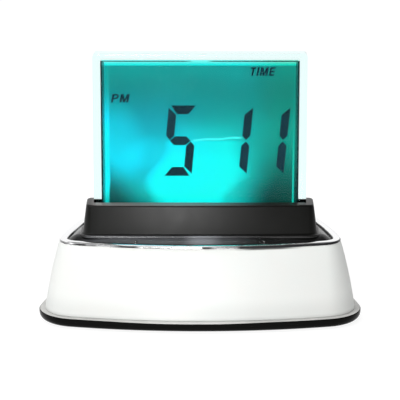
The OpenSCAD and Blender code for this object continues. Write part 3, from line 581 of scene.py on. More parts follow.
@dataclass(frozen=True)
class Metal:
    """A bare or plated metal, drawn or brushed along one axis."""

    slot: Slot
    color: Color
    rough: float = 0.25
    haze: float = 0.12
    cloud: float = 9 * MM
    tone: Span = (0.92, 1.06)
    brush: tuple[float, float, float] = (1, 1, 1)
    line: float = 0.6 * MM
    depth: float = 0.004 * MM

    def paint(self) -> bpy.types.Material:
        """Builds the material.

        Returns:
            The material, named after its slot.
        """
        shader = Shader.named(self.slot.value)
        clouds = shader.noise(self.cloud, FINE)
        lines = shader.noise(self.line, FINE, shader.stretched(self.brush))
        unevenness = (clouds - NOISE_MEAN) * self.haze + (lines - NOISE_MEAN) * self.haze / 2
        darker, paler = (scaled(self.color, gain) for gain in self.tone)
        return shader.surface({
            "Base Color": shader.blend(clouds, darker, paler),
            "Metallic": 1.0,
            "Roughness": self.rough + unevenness,
            "Normal": shader.bump(lines, self.depth),
        })


@dataclass(frozen=True)
class Trim:
    """The chrome ring, bright on top, with a painted dark reflection and shadow at its foot, broken in
    places and in the middle.
    """

    foot: float
    slot: Slot = Slot.CHROME
    color: Color = (0.95, 0.955, 0.96)
    rough: float = 0.06
    haze: float = 5 * MM
    haze_rough: float = 0.05
    depth: float = 0.004 * MM
    # Colour of the painted dark reflection and shadow at the ring's foot.
    seam: Color = (0.02, 0.02, 0.022)
    reflection_high: float = 0.8 * MM
    reflection_soft: float = 0.12 * MM
    reflection_waver: float = 0.25 * MM
    reflection_dull: float = 0.6
    reflection_rough: float = 0.2
    right_x: Span = span(4, 24)
    right_rise: float = 0.15 * MM
    breaks: float = 11 * MM
    breaks_from: float = 0.36
    breaks_gain: float = 4.0
    least: float = 0.25
    gap_x: float = -1.2 * MM
    gap_rim: Span = span(1.2, 2.6)

    def paint(self) -> bpy.types.Material:
        """Builds the material.

        Returns:
            The material, named after its slot.
        """
        shader = Shader.named(self.slot.value)
        x, _, z = shader.axes()
        haze = shader.noise(self.haze, FINE)
        right = x.step(*self.right_x)
        rise = z - self.foot + (haze - NOISE_MEAN) * self.reflection_waver - right * self.right_rise
        breaks = (shader.noise(self.breaks, SOFT) - self.breaks_from) * self.breaks_gain + right
        # Painted dark reflection and shadow along the ring's foot, reaching higher to the right; noise
        # breaks it, and a gap near the middle leaves the chrome bright there.
        seam = rise.step(self.reflection_high + self.reflection_soft, self.reflection_high - self.reflection_soft)
        seam = seam * breaks.lower_of(1.0).higher_of(self.least)
        seam = seam * abs(x - self.gap_x).step(*self.gap_rim)
        return shader.surface({
            "Base Color": shader.blend(seam, self.color, self.seam),
            "Metallic": 1.0 - seam * self.reflection_dull,
            "Roughness": self.rough + haze * self.haze_rough + seam * self.reflection_rough,
            "Normal": shader.bump(haze, self.depth),
        })


@dataclass(frozen=True)
class Pane:
    """A clear pane or shell with faint haze."""

    slot: Slot
    tint: Color
    bend: float = 1.15
    rough: float = 0.015
    haze: float = 11 * MM
    haze_tone: float = 0.985
    least_haze: float = 0.6
    haze_drift: float = 0.8
    sheen: Color = (0.5, 0.9, 0.95)

    def paint(self) -> bpy.types.Material:
        """Builds the material.

        Returns:
            The material, named after its slot.
        """
        shader = Shader.named(self.slot.value)
        haze = shader.noise(self.haze, FINE)
        return shader.surface({
            "Base Color": shader.blend(haze, self.tint, scaled(self.tint, self.haze_tone)),
            "Roughness": self.rough * (self.least_haze + haze * self.haze_drift),
            "IOR": self.bend,
            "Specular Tint": opaque(self.sheen),
            "Transmission Weight": 1.0,
        })


@dataclass(frozen=True)
class EdgedFilm:
    """The front polarising film, clear in the middle, with a painted dark line round its edge that
    stands in for the glass edges seen dark through refraction.
    """

    slot: Slot
    edge_x: float
    top_z: float
    edge_shade: Color = (0.006, 0.03, 0.03)
    tint: Color = (0.01, 0.16, 0.16)
    rough: float = 0.5
    edge_shade_rough: float = 0.1
    gloss: float = 0.05
    cover: float = 0.03
    half_cover: float = 0.42
    edge_cover: float = 0.95
    half_w: float = 0.8 * MM
    soft: float = 0.15 * MM
    line_h: float = 0.42 * MM
    line_cover: float = 0.68
    line_right: float = 0.25
    line_right_x: Span = span(0, 30)
    gap_rim: Span = span(2.1, 7)

    def paint(self) -> bpy.types.Material:
        """Builds the material.

        Returns:
            The material, named after its slot.
        """
        shader = Shader.named(self.slot.value)
        x, _, z = shader.axes()
        # Painted dark edges: the sides, a half-dark inner band and a line under the top stand in for the
        # glass edges seen dark through refraction; the top line is darker to the right.
        side = abs(x).step(self.edge_x - self.soft, self.edge_x + self.soft)
        inner_x, line_z = self.edge_x - self.half_w, self.top_z - self.line_h
        inner = abs(x).step(inner_x - self.soft, inner_x + 2 * self.soft)
        line = z.step(line_z - self.soft, line_z + self.soft) * abs(x).step(*self.gap_rim)
        line = line * (self.line_cover + x.step(*self.line_right_x) * self.line_right)
        mask = side.higher_of(inner * self.half_cover).higher_of(line)
        return shader.surface({
            "Base Color": shader.blend(mask, self.tint, self.edge_shade),
            "Roughness": self.rough - mask * self.edge_shade_rough,
            "Specular IOR Level": self.gloss,
            "Alpha": self.cover + mask * (self.edge_cover - self.cover),
        })


@dataclass(frozen=True)
class Mound:
    """Soft round brightness on the display."""

    gain: float
    middle: Span
    radii: Span

    def light(self, x: Signal, z: Signal) -> Signal:
        """Its brightness at a place."""
        across, along = (x - self.middle[0]) / self.radii[0], (z - self.middle[1]) / self.radii[1]
        return self.gain * (across * across + along * along).step(1.0, 0.0)


@dataclass(frozen=True)
class Pool:
    """The bright pool over the lamps, narrower at its foot and at its top."""

    gain: float = 1.08
    upper_loss: float = 0.1
    upper_z: Span = span(65, 72)
    top_z: Span = span(76, 72.5)
    high_z: Span = span(57, 70)
    low_z: Span = span(63, 48)
    foot_z: Span = span(54, 47)
    left: Span = span(-30, -17)
    left_high: float = 7 * MM
    left_foot: float = 3 * MM
    right: Span = span(29.5, 13.5)
    right_low: Span = span(10, 6)
    right_narrow: float = 2.5 * MM

    def light(self, x: Signal, z: Signal) -> Signal:
        """Its brightness at a place.

        Args:
            x: Place across the display.
            z: Height of the place.

        Returns:
            The brightness.
        """
        high, low, foot = z.step(*self.high_z), z.step(*self.low_z), z.step(*self.foot_z)
        left = (x - high * self.left_high - foot * self.left_foot).step(*self.left)
        dark, bright = (edge - low * move for edge, move in zip(self.right, self.right_low))
        right = (x + (high + foot) * self.right_narrow).step(dark, bright)
        strength = self.gain - self.upper_loss * z.step(*self.upper_z)
        return left * right * z.step(*self.top_z) * strength


@dataclass(frozen=True)
class Shade:
    """Fall of the light into the lower left corner and towards the right."""

    corner: Span = span(-37.3, 62.3)
    corner_slope: float = 0.85
    corner_fall: Span = span(-12, 8)
    corner_light: float = 0.12
    right: Span = span(13, 33)
    right_low_z: Span = span(60, 48)
    right_low: float = 4 * MM
    right_least: float = 0.2
    right_more: float = 0.72
    right_more_z: Span = span(84, 50)

    def left_light(self, x: Signal, z: Signal) -> Signal:
        """Share of the light that is left towards the lower left corner."""
        away = z - self.corner[1] + (x - self.corner[0]) * self.corner_slope
        return self.corner_light + (1 - self.corner_light) * away.step(*self.corner_fall)

    def right_loss(self, x: Signal, z: Signal) -> Signal:
        """Share of the light that is lost at the right, more of it towards the foot."""
        depth = self.right_least + self.right_more * z.step(*self.right_more_z)
        return depth * (x + z.step(*self.right_low_z) * self.right_low).step(*self.right)


@dataclass(frozen=True)
class Rims:
    """Bright lines along the sides and the top, where the guide's edges catch the lamps."""

    left_w: Span = span(3.1, 2.2)
    left_wider: float = 0.5 * MM
    left_wider_z: Span = span(50, 58)
    left_top: float = 0.4
    left_top_z: Span = span(97, 76)
    left_foot: float = 0.6
    left_foot_z: Span = span(47, 53)
    right_in: float = 1.7 * MM
    right_w: Span = span(0.55, 0.15)
    right_top: float = 0.32
    right_more: float = 0.34
    right_more_z: Span = span(90, 60)
    top_w: Span = span(2.9, 2.1)
    top_gain: float = 0.91
    top_loss: float = 0.15
    top_loss_x: Span = span(16, 30)
    line_w: Span = span(1.6, 0.9)
    line_gain: float = 0.1

    def light(
        self, from_left: Signal, from_right: Signal, from_top: Signal, x: Signal, z: Signal
    ) -> Signal:
        """Their brightness at a place.

        Args:
            from_left: Distance from the display's left edge.
            from_right: Distance from its right edge.
            from_top: Distance from its top.
            x: Place across the display.
            z: Height of the place.

        Returns:
            The brightness.
        """
        wider = z.step(*self.left_wider_z) * self.left_wider
        left = from_left.step(*(edge + wider for edge in self.left_w))
        left = left * (self.left_top + z.step(*self.left_top_z) * (1 - self.left_top))
        left = left * (self.left_foot + (1 - self.left_foot) * z.step(*self.left_foot_z))
        right = abs(from_right - self.right_in).step(*self.right_w)
        right = right * (self.right_top + z.step(*self.right_more_z) * self.right_more)
        top = self.top_gain - self.top_loss * x.step(*self.top_loss_x)
        top = top * from_top.step(*self.top_w)
        top = top + from_top.step(*self.line_w) * self.line_gain
        return left.higher_of(right).higher_of(top)


@dataclass(frozen=True)
class Streak:
    """A thin bright line in the glass."""

    start: Span
    slope: float
    width: Span
    left: Span
    right: Span
    gain: float = 1.0
    waves: float = 0.0
    wave_h: float = 0.0

    def light(self, x: Signal, z: Signal) -> Signal:
        """Its brightness at a place."""
        start_x, start_z = self.start
        line = (x - start_x) * self.slope + (x * self.waves).wave() * self.wave_h
        away = z - start_z - line
        return abs(away).step(*self.width) * x.step(*self.left) * x.step(*self.right) * self.gain


@dataclass(frozen=True)
class Glow:
    """The lit display: a teal field with a bright pool over the lamps and bright rims."""

    left: float
    right: float
    top: float
    slot: Slot = Slot.GLOW
    unlit: Color = (0.005, 0.05, 0.05)
    rough: float = 0.6
    cloud: float = 10 * MM
    cloud_rough: float = 0.1
    cloud_gain: float = 0.3
    drift: float = 4 * MM
    gain: float = 1.08
    field: float = 0.285
    climb: float = 0.3
    climb_z: Span = span(95, 62)
    crown: float = 0.05
    crown_z: Span = span(96, 103)
    halo: float = 0.2
    halo_z: Span = span(84, 74)
    halo_left: Span = span(-16, -6)
    halo_right: Span = span(28, 2)
    red: float = 0.004
    streak_red: float = 0.05
    top_red: float = 0.2
    top_red_w: Span = span(2, 0.6)
    blue: float = 0.95
    bluer: float = 0.34
    bluer_x: Span = span(16, -26)
    bluer_top: Span = span(100, 80)
    bluer_foot: Span = span(48, 64)
    greener: float = 0.2
    greener_x: Span = span(16, 36)
    hill: Mound = Mound(0.23, span(-36, 71), span(16, 22))
    shoulder: Mound = Mound(0.17, span(-20, 68), span(13, 9))
    pool: Pool = Pool()
    shade: Shade = Shade()
    rims: Rims = Rims()
    streak: Streak = Streak(
        start=span(-3, 73.6),
        slope=0.055,
        width=span(0.85, 0.25),
        left=span(-3.6, -2.4),
        right=span(20, 15),
        waves=600,
        wave_h=0.15 * MM,
    )
    glint: Streak = Streak(
        start=span(26, 79.5),
        slope=0.48,
        width=span(0.6, 0.1),
        left=span(24, 27),
        right=span(33, 29),
        gain=0.42,
    )

    def paint(self) -> bpy.types.Material:
        """Builds the material.

        Returns:
            The material, named after its slot.
        """
        shader = Shader.named("display_glow")
        x, _, z = shader.axes()
        cloud = shader.noise(self.cloud, FINE) - NOISE_MEAN
        drifted = x + cloud * self.drift
        from_top = self.top - z
        field = self.field + self.climb * z.step(*self.climb_z) + self.crown * z.step(*self.crown_z)
        field = field + self.hill.light(drifted, z) + self.shoulder.light(x, z)
        halo = z.step(*self.halo_z) * x.step(*self.halo_left) * x.step(*self.halo_right)
        field = (field + self.halo * halo) * (1 - self.shade.right_loss(x, z))
        field = field * (1 + cloud * self.cloud_gain)
        light = field.higher_of(self.pool.light(drifted, z)) * self.shade.left_light(drifted, z)
        streak = self.streak.light(x, z)
        light = light.higher_of(streak * self.gain).higher_of(self.glint.light(x, z))
        light = light.higher_of(self.rims.light(x - self.left, self.right - x, from_top, x, z))
        green = (light / self.gain).lower_of(1.0)
        bluer = x.step(*self.bluer_x) * z.step(*self.bluer_top) * z.step(*self.bluer_foot)
        blue = green * (self.blue + self.bluer * bluer - self.greener * x.step(*self.greener_x))
        red = self.red + from_top.step(*self.top_red_w) * self.top_red + streak * self.streak_red
        rgb = {"Red": red, "Green": green, "Blue": blue.lower_of(1.0)}
        return shader.surface({
            "Base Color": opaque(self.unlit),
            "Roughness": self.rough + cloud * self.cloud_rough,
            "Specular IOR Level": 0.0,
            "Emission Color": shader.node("ShaderNodeCombineColor", inputs=rgb),
            "Emission Strength": self.gain,
        })


@dataclass(frozen=True)
class Mask:
    """Green solder mask with traces and tinned pads."""

    slot: Slot = Slot.BOARD
    green: Color = (0.012, 0.12, 0.04)
    trace: Color = (0.02, 0.2, 0.07)
    pad: Color = (0.62, 0.6, 0.52)
    pitch: float = 3.2 * MM
    bend: float = 9 * MM
    row_bend: float = 6 * MM
    line_rim: Span = (0.35, 0.6)
    row_rim: Span = (0.6, 0.8)
    pad_rim: Span = (0.2, 0.15)
    pad_shine: float = 0.9
    rough: float = 0.32
    haze: float = 4 * MM
    haze_rough: float = 0.12
    depth: float = 0.04 * MM

    def paint(self) -> bpy.types.Material:
        """Builds the material.

        Returns:
            The material, named after its slot.
        """
        shader = Shader.named(self.slot.value)
        x, y, _ = shader.axes()
        bend = shader.noise(self.bend, SMOOTH)
        lines = ((y + bend * self.bend) * (2 * HALF_TURN / self.pitch)).wave().step(*self.line_rim)
        rows = ((x + bend * self.row_bend) * (HALF_TURN / self.pitch)).wave().step(*self.row_rim)
        copper = lines.higher_of(rows)
        pads = shader.flakes(self.pitch).step(*self.pad_rim)
        color = shader.blend(copper, self.green, self.trace)
        return shader.surface({
            "Base Color": shader.blend(pads, color, self.pad),
            "Roughness": self.rough + shader.noise(self.haze) * self.haze_rough,
            "Metallic": pads * self.pad_shine,
            "Normal": shader.bump(copper + pads, self.depth),
        })


@dataclass(frozen=True)
class Sleeve:
    """The cells' plain printed sleeves with bare metal ends."""

    slot: Slot = Slot.CELL
    blue: Color = (0.03, 0.12, 0.27)
    band: Color = (0.55, 0.56, 0.58)
    band_from: Span = span(13, 13.2)
    band_to: Span = span(16, 15.8)
    end: Color = (0.7, 0.7, 0.69)
    end_rim: Span = span(21.4, 21.6)
    scuff: float = 1.5 * MM
    rough: float = 0.28
    scuff_rough: float = 0.2
    depth: float = 0.01 * MM

    def paint(self) -> bpy.types.Material:
        """Builds the material.

        Returns:
            The material, named after its slot.
        """
        shader = Shader.named(self.slot.value)
        x, _, _ = shader.axes()
        bare = abs(x).step(*self.end_rim)
        stripe = abs(x).step(*self.band_from) * abs(x).step(*self.band_to)
        scuff = shader.noise(self.scuff, FINEST)
        sleeve = shader.blend(stripe, self.blue, self.band)
        return shader.surface({
            "Base Color": shader.blend(bare, sleeve, self.end),
            "Metallic": bare,
            "Roughness": self.rough + scuff * self.scuff_rough,
            "Normal": shader.bump(scuff, self.depth),
        })


@dataclass(frozen=True)
class Stripes:
    """A flat cable: conductors side by side under a film."""

    slot: Slot
    film: Color
    core: Color
    pitch: float = 1 * MM
    core_rim: Span = (-0.1, 0.3)
    rough: float = 0.38
    haze: float = 3 * MM
    haze_rough: float = 0.15
    depth: float = 0.03 * MM

    def paint(self) -> bpy.types.Material:
        """Builds the material.

        Returns:
            The material, named after its slot.
        """
        shader = Shader.named(self.slot.value)
        x, _, _ = shader.axes()
        cores = (x * (2 * HALF_TURN / self.pitch)).wave().step(*self.core_rim)
        return shader.surface({
            "Base Color": shader.blend(cores, self.film, self.core),
            "Roughness": self.rough + shader.noise(self.haze) * self.haze_rough,
            "Normal": shader.bump(cores, self.depth),
        })


@dataclass(frozen=True)
class Disc:
    """The buzzer: a silvered ceramic on a brass disc, told apart by height."""

    low: float
    slot: Slot = Slot.BRASS
    brass: Color = (0.72, 0.5, 0.2)
    brass_t: float = 0.3 * MM
    silver: Color = (0.8, 0.79, 0.76)
    soft: float = 0.02 * MM
    stain: float = 4 * MM
    stain_share: float = 0.3
    stain_tone: float = 0.6
    rough: float = 0.22
    stain_rough: float = 0.2
    depth: float = 0.005 * MM

    def paint(self) -> bpy.types.Material:
        """Builds the material.

        Returns:
            The material, named after its slot.
        """
        shader = Shader.named(self.slot.value)
        _, _, z = shader.axes()
        stain = shader.noise(self.stain, FINEST)
        edge = self.low + self.brass_t
        color = shader.blend(z.step(edge, edge + self.soft), self.brass, self.silver)
        stained = scaled(self.brass, self.stain_tone)
        return shader.surface({
            "Base Color": shader.blend(stain * self.stain_share, color, stained),
            "Metallic": 1.0,
            "Roughness": self.rough + stain * self.stain_rough,
            "Normal": shader.bump(stain, self.depth),
        })


Finish = Moulding | Pearl | Metal | Trim | Pane | EdgedFilm | Glow | Mask | Sleeve | Stripes | Disc


@dataclass
class Dresser:
    """Gives pieces their finish, slot and body, and reports them."""

    finishes: dict[Slot, Finish]
    painted: dict[Slot, bpy.types.Material] = field(default_factory=dict)

    def material(self, slot: Slot) -> bpy.types.Material:
        """The material of a slot, built when it is first asked for.

        Args:
            slot: The record's slot.

        Returns:
            Its material.
        """
        if slot not in self.painted:
            self.painted[slot] = self.finishes[slot].paint()
        return self.painted[slot]

    def node(self, name: str, slot: Slot) -> None:
        """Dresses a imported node, as it is.

        Args:
            name: The node's name.
            slot: The slot whose finish it takes.
        """
        for holder in frame["nodes"][name].material_slots:
            holder.material = self.material(slot)
        LOG.info("node %s: %s", name, slot.value)

    def piece(
        self, piece: bpy.types.Object, slot: Slot, body: Body, *replaced: str
    ) -> bpy.types.Object:
        """Dresses a new piece and sets it on its body.

        Args:
            piece: The piece, in its place.
            slot: The slot whose finish it takes.
            body: The body that it rides on.
            replaced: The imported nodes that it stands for.

        Returns:
            The same piece.
        """
        piece.data.materials.clear()
        piece.data.materials.append(self.material(slot))
        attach(piece, body.value)
        if replaced:
            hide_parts(*replaced)
        LOG.info("piece %s: %s on %s", piece.name, slot.value, body.value)
        return piece


def skin(name: str, rings: Sequence[Outline], joined: bool = False) -> bpy.types.Object:
    """Joins rings of equally many points into one closed skin.

    Args:
        name: Name of the new piece.
        rings: The rings, in order.
        joined: Whether the last ring meets the first. Otherwise both ends are capped.

    Returns:
        The piece.
    """
    form = bmesh.new()
    loops = [[form.verts.new(point) for point in ring] for ring in rings]
    spans = list(zip(loops, loops[1:])) + ([(loops[-1], loops[0])] if joined else [])
    for low, high in spans:
        for i, corner in enumerate(low):
            following = (i + 1) % len(low)
            form.faces.new((corner, low[following], high[following], high[i]))
    if not joined:
        form.faces.new(loops[0])
        form.faces.new(loops[-1])
    return finished(name, form)


def finished(name: str, form: bmesh.types.BMesh) -> bpy.types.Object:
    """Turns a mesh in the making into a piece.

    Args:
        name: Name of the new piece.
        form: The mesh, which is used up.

    Returns:
        The piece, linked to the scene.
    """
    bmesh.ops.recalc_face_normals(form, faces=form.faces)
    mesh = bpy.data.meshes.new(name)
    form.to_mesh(mesh)
    form.free()
    piece = bpy.data.objects.new(name, mesh)
    bpy.context.scene.collection.objects.link(piece)
    return smoothed(piece)


def smoothed(piece: bpy.types.Object) -> bpy.types.Object:
    """Shades a piece smooth, except across its sharp edges."""
    piece.data.shade_smooth()
    piece.data.set_sharp_from_angle(angle=SHARP_SHADE)
    return piece


def settled(piece: bpy.types.Object) -> bpy.types.Object:
    """Applies a piece's modifiers to its mesh.

    Args:
        piece: The piece.

    Returns:
        The same piece, with no modifiers left.
    """
    graph = bpy.context.evaluated_depsgraph_get()
    mesh = bpy.data.meshes.new_from_object(piece.evaluated_get(graph))
    piece.modifiers.clear()
    piece.data = mesh
    return smoothed(piece)


def carved(
    piece: bpy.types.Object, tools: Sequence[bpy.types.Object], how: Cut = Cut.AWAY
) -> bpy.types.Object:
    """Cuts tools out of a piece, or joins them to it, and uses them up.

    Args:
        piece: The piece.
        tools: Closed solids.
        how: What the tools do.

    Returns:
        The same piece.
    """
    for tool in tools:
        step = piece.modifiers.new(tool.name, "BOOLEAN")
        step.operation = how.value
        step.solver = "EXACT"
        step.object = tool
    settled(piece)
    for tool in tools:
        bpy.data.objects.remove(tool)
    return piece


def softened(piece: bpy.types.Object, width: float, segments: int = 3) -> bpy.types.Object:
    """Rounds every sharp edge of a piece.

    Args:
        piece: The piece.
        width: Width of the rounding.
        segments: Faces across it.

    Returns:
        The same piece.
    """
    step = piece.modifiers.new("rounding", "BEVEL")
    step.width = width
    step.segments = segments
    step.limit_method = "ANGLE"
    step.angle_limit = SHARP_EDGE
    return settled(piece)


def arc(centre: Sequence[float], radius: float, start: float, end: float, steps: int) -> Outline:
    """Points of a flat arc, without its end.

    Args:
        centre: The arc's centre.
        radius: Its radius.
        start: First angle.
        end: Last angle.
        steps: Number of points.

    Returns:
        The points.
    """
    x, y = centre
    turns = [start + (end - start) * i / steps for i in range(steps)]
    return [Vector((x + radius * math.cos(t), y + radius * math.sin(t))) for t in turns]


def mirrored(half: Outline) -> Outline:
    """Whole outline from the right half, which starts and ends on the middle line."""
    return half + [Vector((-p.x, p.y)) for p in reversed(half[1:-1])]


def rounded_box(width: float, depth: float, radius: float, steps: int = 8) -> Outline:
    """Outline of a rectangle with round corners, about the origin.

    Args:
        width: Its width.
        depth: Its depth.
        radius: Radius of its corners.
        steps: Points to a corner.

    Returns:
        The outline.
    """
    x, y = width / 2 - radius, depth / 2 - radius
    corners = ((x, -y), (x, y), (-x, y), (-x, -y))
    outline = []
    for k, corner in enumerate(corners):
        outline += arc(corner, radius, (k - 1) * QUARTER_TURN, k * QUARTER_TURN, steps)
        outline += arc_end(corner, radius, k)
    return outline


def arc_end(corner: Sequence[float], radius: float, turns: int) -> Outline:
    """Last point of a corner's arc, after a whole number of quarter turns."""
    turn = turns * QUARTER_TURN
    return [Vector((corner[0] + radius * math.cos(turn), corner[1] + radius * math.sin(turn)))]


def lifted(outline: Outline, level: float) -> Outline:
    """A flat outline set at a level."""
    return [Vector((p.x, p.y, level)) for p in outline]


def block(low: Vector, high: Vector, name: str = "tool") -> bpy.types.Object:
    """A box between two corners, for cuts and joins.

    Args:
        low: Its lowest corner.
        high: Its highest corner.
        name: Its name.

    Returns:
        The box.
    """
    flat = [Vector(p) for p in ((low.x, low.y), (high.x, low.y), (high.x, high.y), (low.x, high.y))]
    return skin(name, [lifted(flat, low.z), lifted(flat, high.z)])


def turned(name: str, profile: Sequence[Span], place: Matrix, sides: int = 48) -> bpy.types.Object:
    """A lathed solid whose profile starts and ends on the axis.

    Args:
        name: Name of the new piece.
        profile: Pairs of radius and height, from the foot to the top.
        place: Where its own frame stands.
        sides: Points round it.

    Returns:
        The piece.
    """
    form = bmesh.new()
    foot = form.verts.new(place @ Vector((0, 0, profile[0][1])))
    top = form.verts.new(place @ Vector((0, 0, profile[-1][1])))
    turns = [2 * HALF_TURN * i / sides for i in range(sides)]
    loops = [
        [form.verts.new(place @ Vector((r * math.cos(t), r * math.sin(t), h))) for t in turns]
        for r, h in profile[1:-1]
    ]
    for i in range(sides):
        following = (i + 1) % sides
        form.faces.new((foot, loops[0][following], loops[0][i]))
        form.faces.new((top, loops[-1][i], loops[-1][following]))
        for low, high in zip(loops, loops[1:]):
            form.faces.new((low[i], low[following], high[following], high[i]))
    return finished(name, form)


def rolled(edge: float, top: float, radius: float, steps: int = 6) -> list[Span]:
    """Profile points of a rounded upper edge.

    Args:
        edge: Radius of the solid below the rounding.
        top: Height of the top.
        radius: Radius of the rounding.
        steps: Faces across it.

    Returns:
        Pairs of radius and height, from the side to the top.
    """
    turns = [QUARTER_TURN * i / steps for i in range(steps + 1)]
    return [(edge - radius * (1 - math.cos(t)), top - radius * (1 - math.sin(t))) for t in turns]


def tube(name: str, path: Outline, radius: float, sides: int = 10) -> bpy.types.Object:
    """A round wire along a path.

    Args:
        name: Name of the new piece.
        path: Points along its middle.
        radius: Radius of the wire.
        sides: Points round it.

    Returns:
        The piece.
    """
    rings = []
    side = (path[1] - path[0]).orthogonal().normalized()
    for i, point in enumerate(path):
        ahead = path[min(i + 1, len(path) - 1)] - path[max(i - 1, 0)]
        ahead.normalize()
        side = (side - ahead * side.dot(ahead)).normalized()
        across = ahead.cross(side)
        turns = [2 * HALF_TURN * k / sides for k in range(sides)]
        rings.append([point + radius * (side * math.cos(t) + across * math.sin(t)) for t in turns])
    return skin(name, rings)


def merged(name: str, pieces: Sequence[bpy.types.Object]) -> bpy.types.Object:
    """Joins pieces into one object.

    Args:
        name: Name of the result.
        pieces: The pieces, which are used up.

    Returns:
        The joined piece.
    """
    form = bmesh.new()
    for piece in pieces:
        form.from_mesh(piece.data)
        bpy.data.objects.remove(piece)
    return finished(name, form)


@dataclass(frozen=True)
class BasePlan:
    """Plan of the base: five arcs from the middle of the front to the middle of the back."""

    width: float = 132 * MM
    depth: float = 75 * MM
    rear_width: float = 120 * MM
    front_bow: float = 236 * MM
    rear_bow: float = 400 * MM
    side_bow: float = 180 * MM
    front_corner: float = 17 * MM
    rear_corner: float = 30 * MM
    least: float = 0.3 * MM
    steps: tuple[int, ...] = (14, 16, 12, 18, 12)

    def arcs(self) -> list[tuple[Vector, float, float, float]]:
        """The arcs of the right half.

        Returns:
            Centre, radius, first angle and last angle of each.
        """
        front = Vector((0, self.front_bow - self.depth / 2))
        rear = Vector((0, self.depth / 2 - self.rear_bow))
        front_reach, rear_reach = self.front_bow - self.front_corner, self.rear_bow - self.rear_corner
        front_turn = -math.acos((self.width / 2 - self.front_corner) / front_reach)
        rear_turn = math.acos((self.rear_width / 2 - self.rear_corner) / rear_reach)
        near = front + front_reach * Vector((math.cos(front_turn), math.sin(front_turn)))
        far = rear + rear_reach * Vector((math.cos(rear_turn), math.sin(rear_turn)))
        gap = far - near
        to_near, to_far = self.side_bow - self.front_corner, self.side_bow - self.rear_corner
        along = (to_near**2 - to_far**2 + gap.length_squared) / (2 * gap.length)
        across = math.sqrt(to_near**2 - along**2)
        ahead = gap.normalized()
        side = near + along * ahead + across * Vector((-ahead.y, ahead.x))
        start = math.atan2(near.y - side.y, near.x - side.x)
        end = math.atan2(far.y - side.y, far.x - side.x)
        return [
            (front, self.front_bow, -QUARTER_TURN, front_turn),
            (near, self.front_corner, front_turn, start),
            (side, self.side_bow, start, end),
            (far, self.rear_corner, end, rear_turn),
            (rear, self.rear_bow, rear_turn, QUARTER_TURN),
        ]

    def outline(self, inset: float) -> Outline:
        """The whole outline, drawn in by an inset."""
        half = []
        for (centre, radius, start, end), steps in zip(self.arcs(), self.steps):
            half += arc(centre, max(radius - inset, self.least), start, end, steps)
        rear, radius = self.arcs()[-1][:2]
        return mirrored(half + [Vector((0, rear.y + radius - inset))])

    def ring(self, inset: float, level: float) -> Outline:
        """The outline drawn in by an inset, at a level."""
        return lifted(self.outline(inset), level)

    def corner_spots(self, inset: float, turns: Span) -> Outline:
        """Places near the four corners, such as those of the feet.

        Args:
            inset: Distance from the edge.
            turns: Direction from the front and the rear corner's centre, in degrees.

        Returns:
            The four places.
        """
        _, front, _, rear, _ = self.arcs()
        right = []
        for (centre, radius, _, _), turn in zip((front, rear), map(math.radians, turns)):
            right.append(centre + (radius - inset) * Vector((math.cos(turn), math.sin(turn))))
        return right + [Vector((-p.x, p.y)) for p in right]


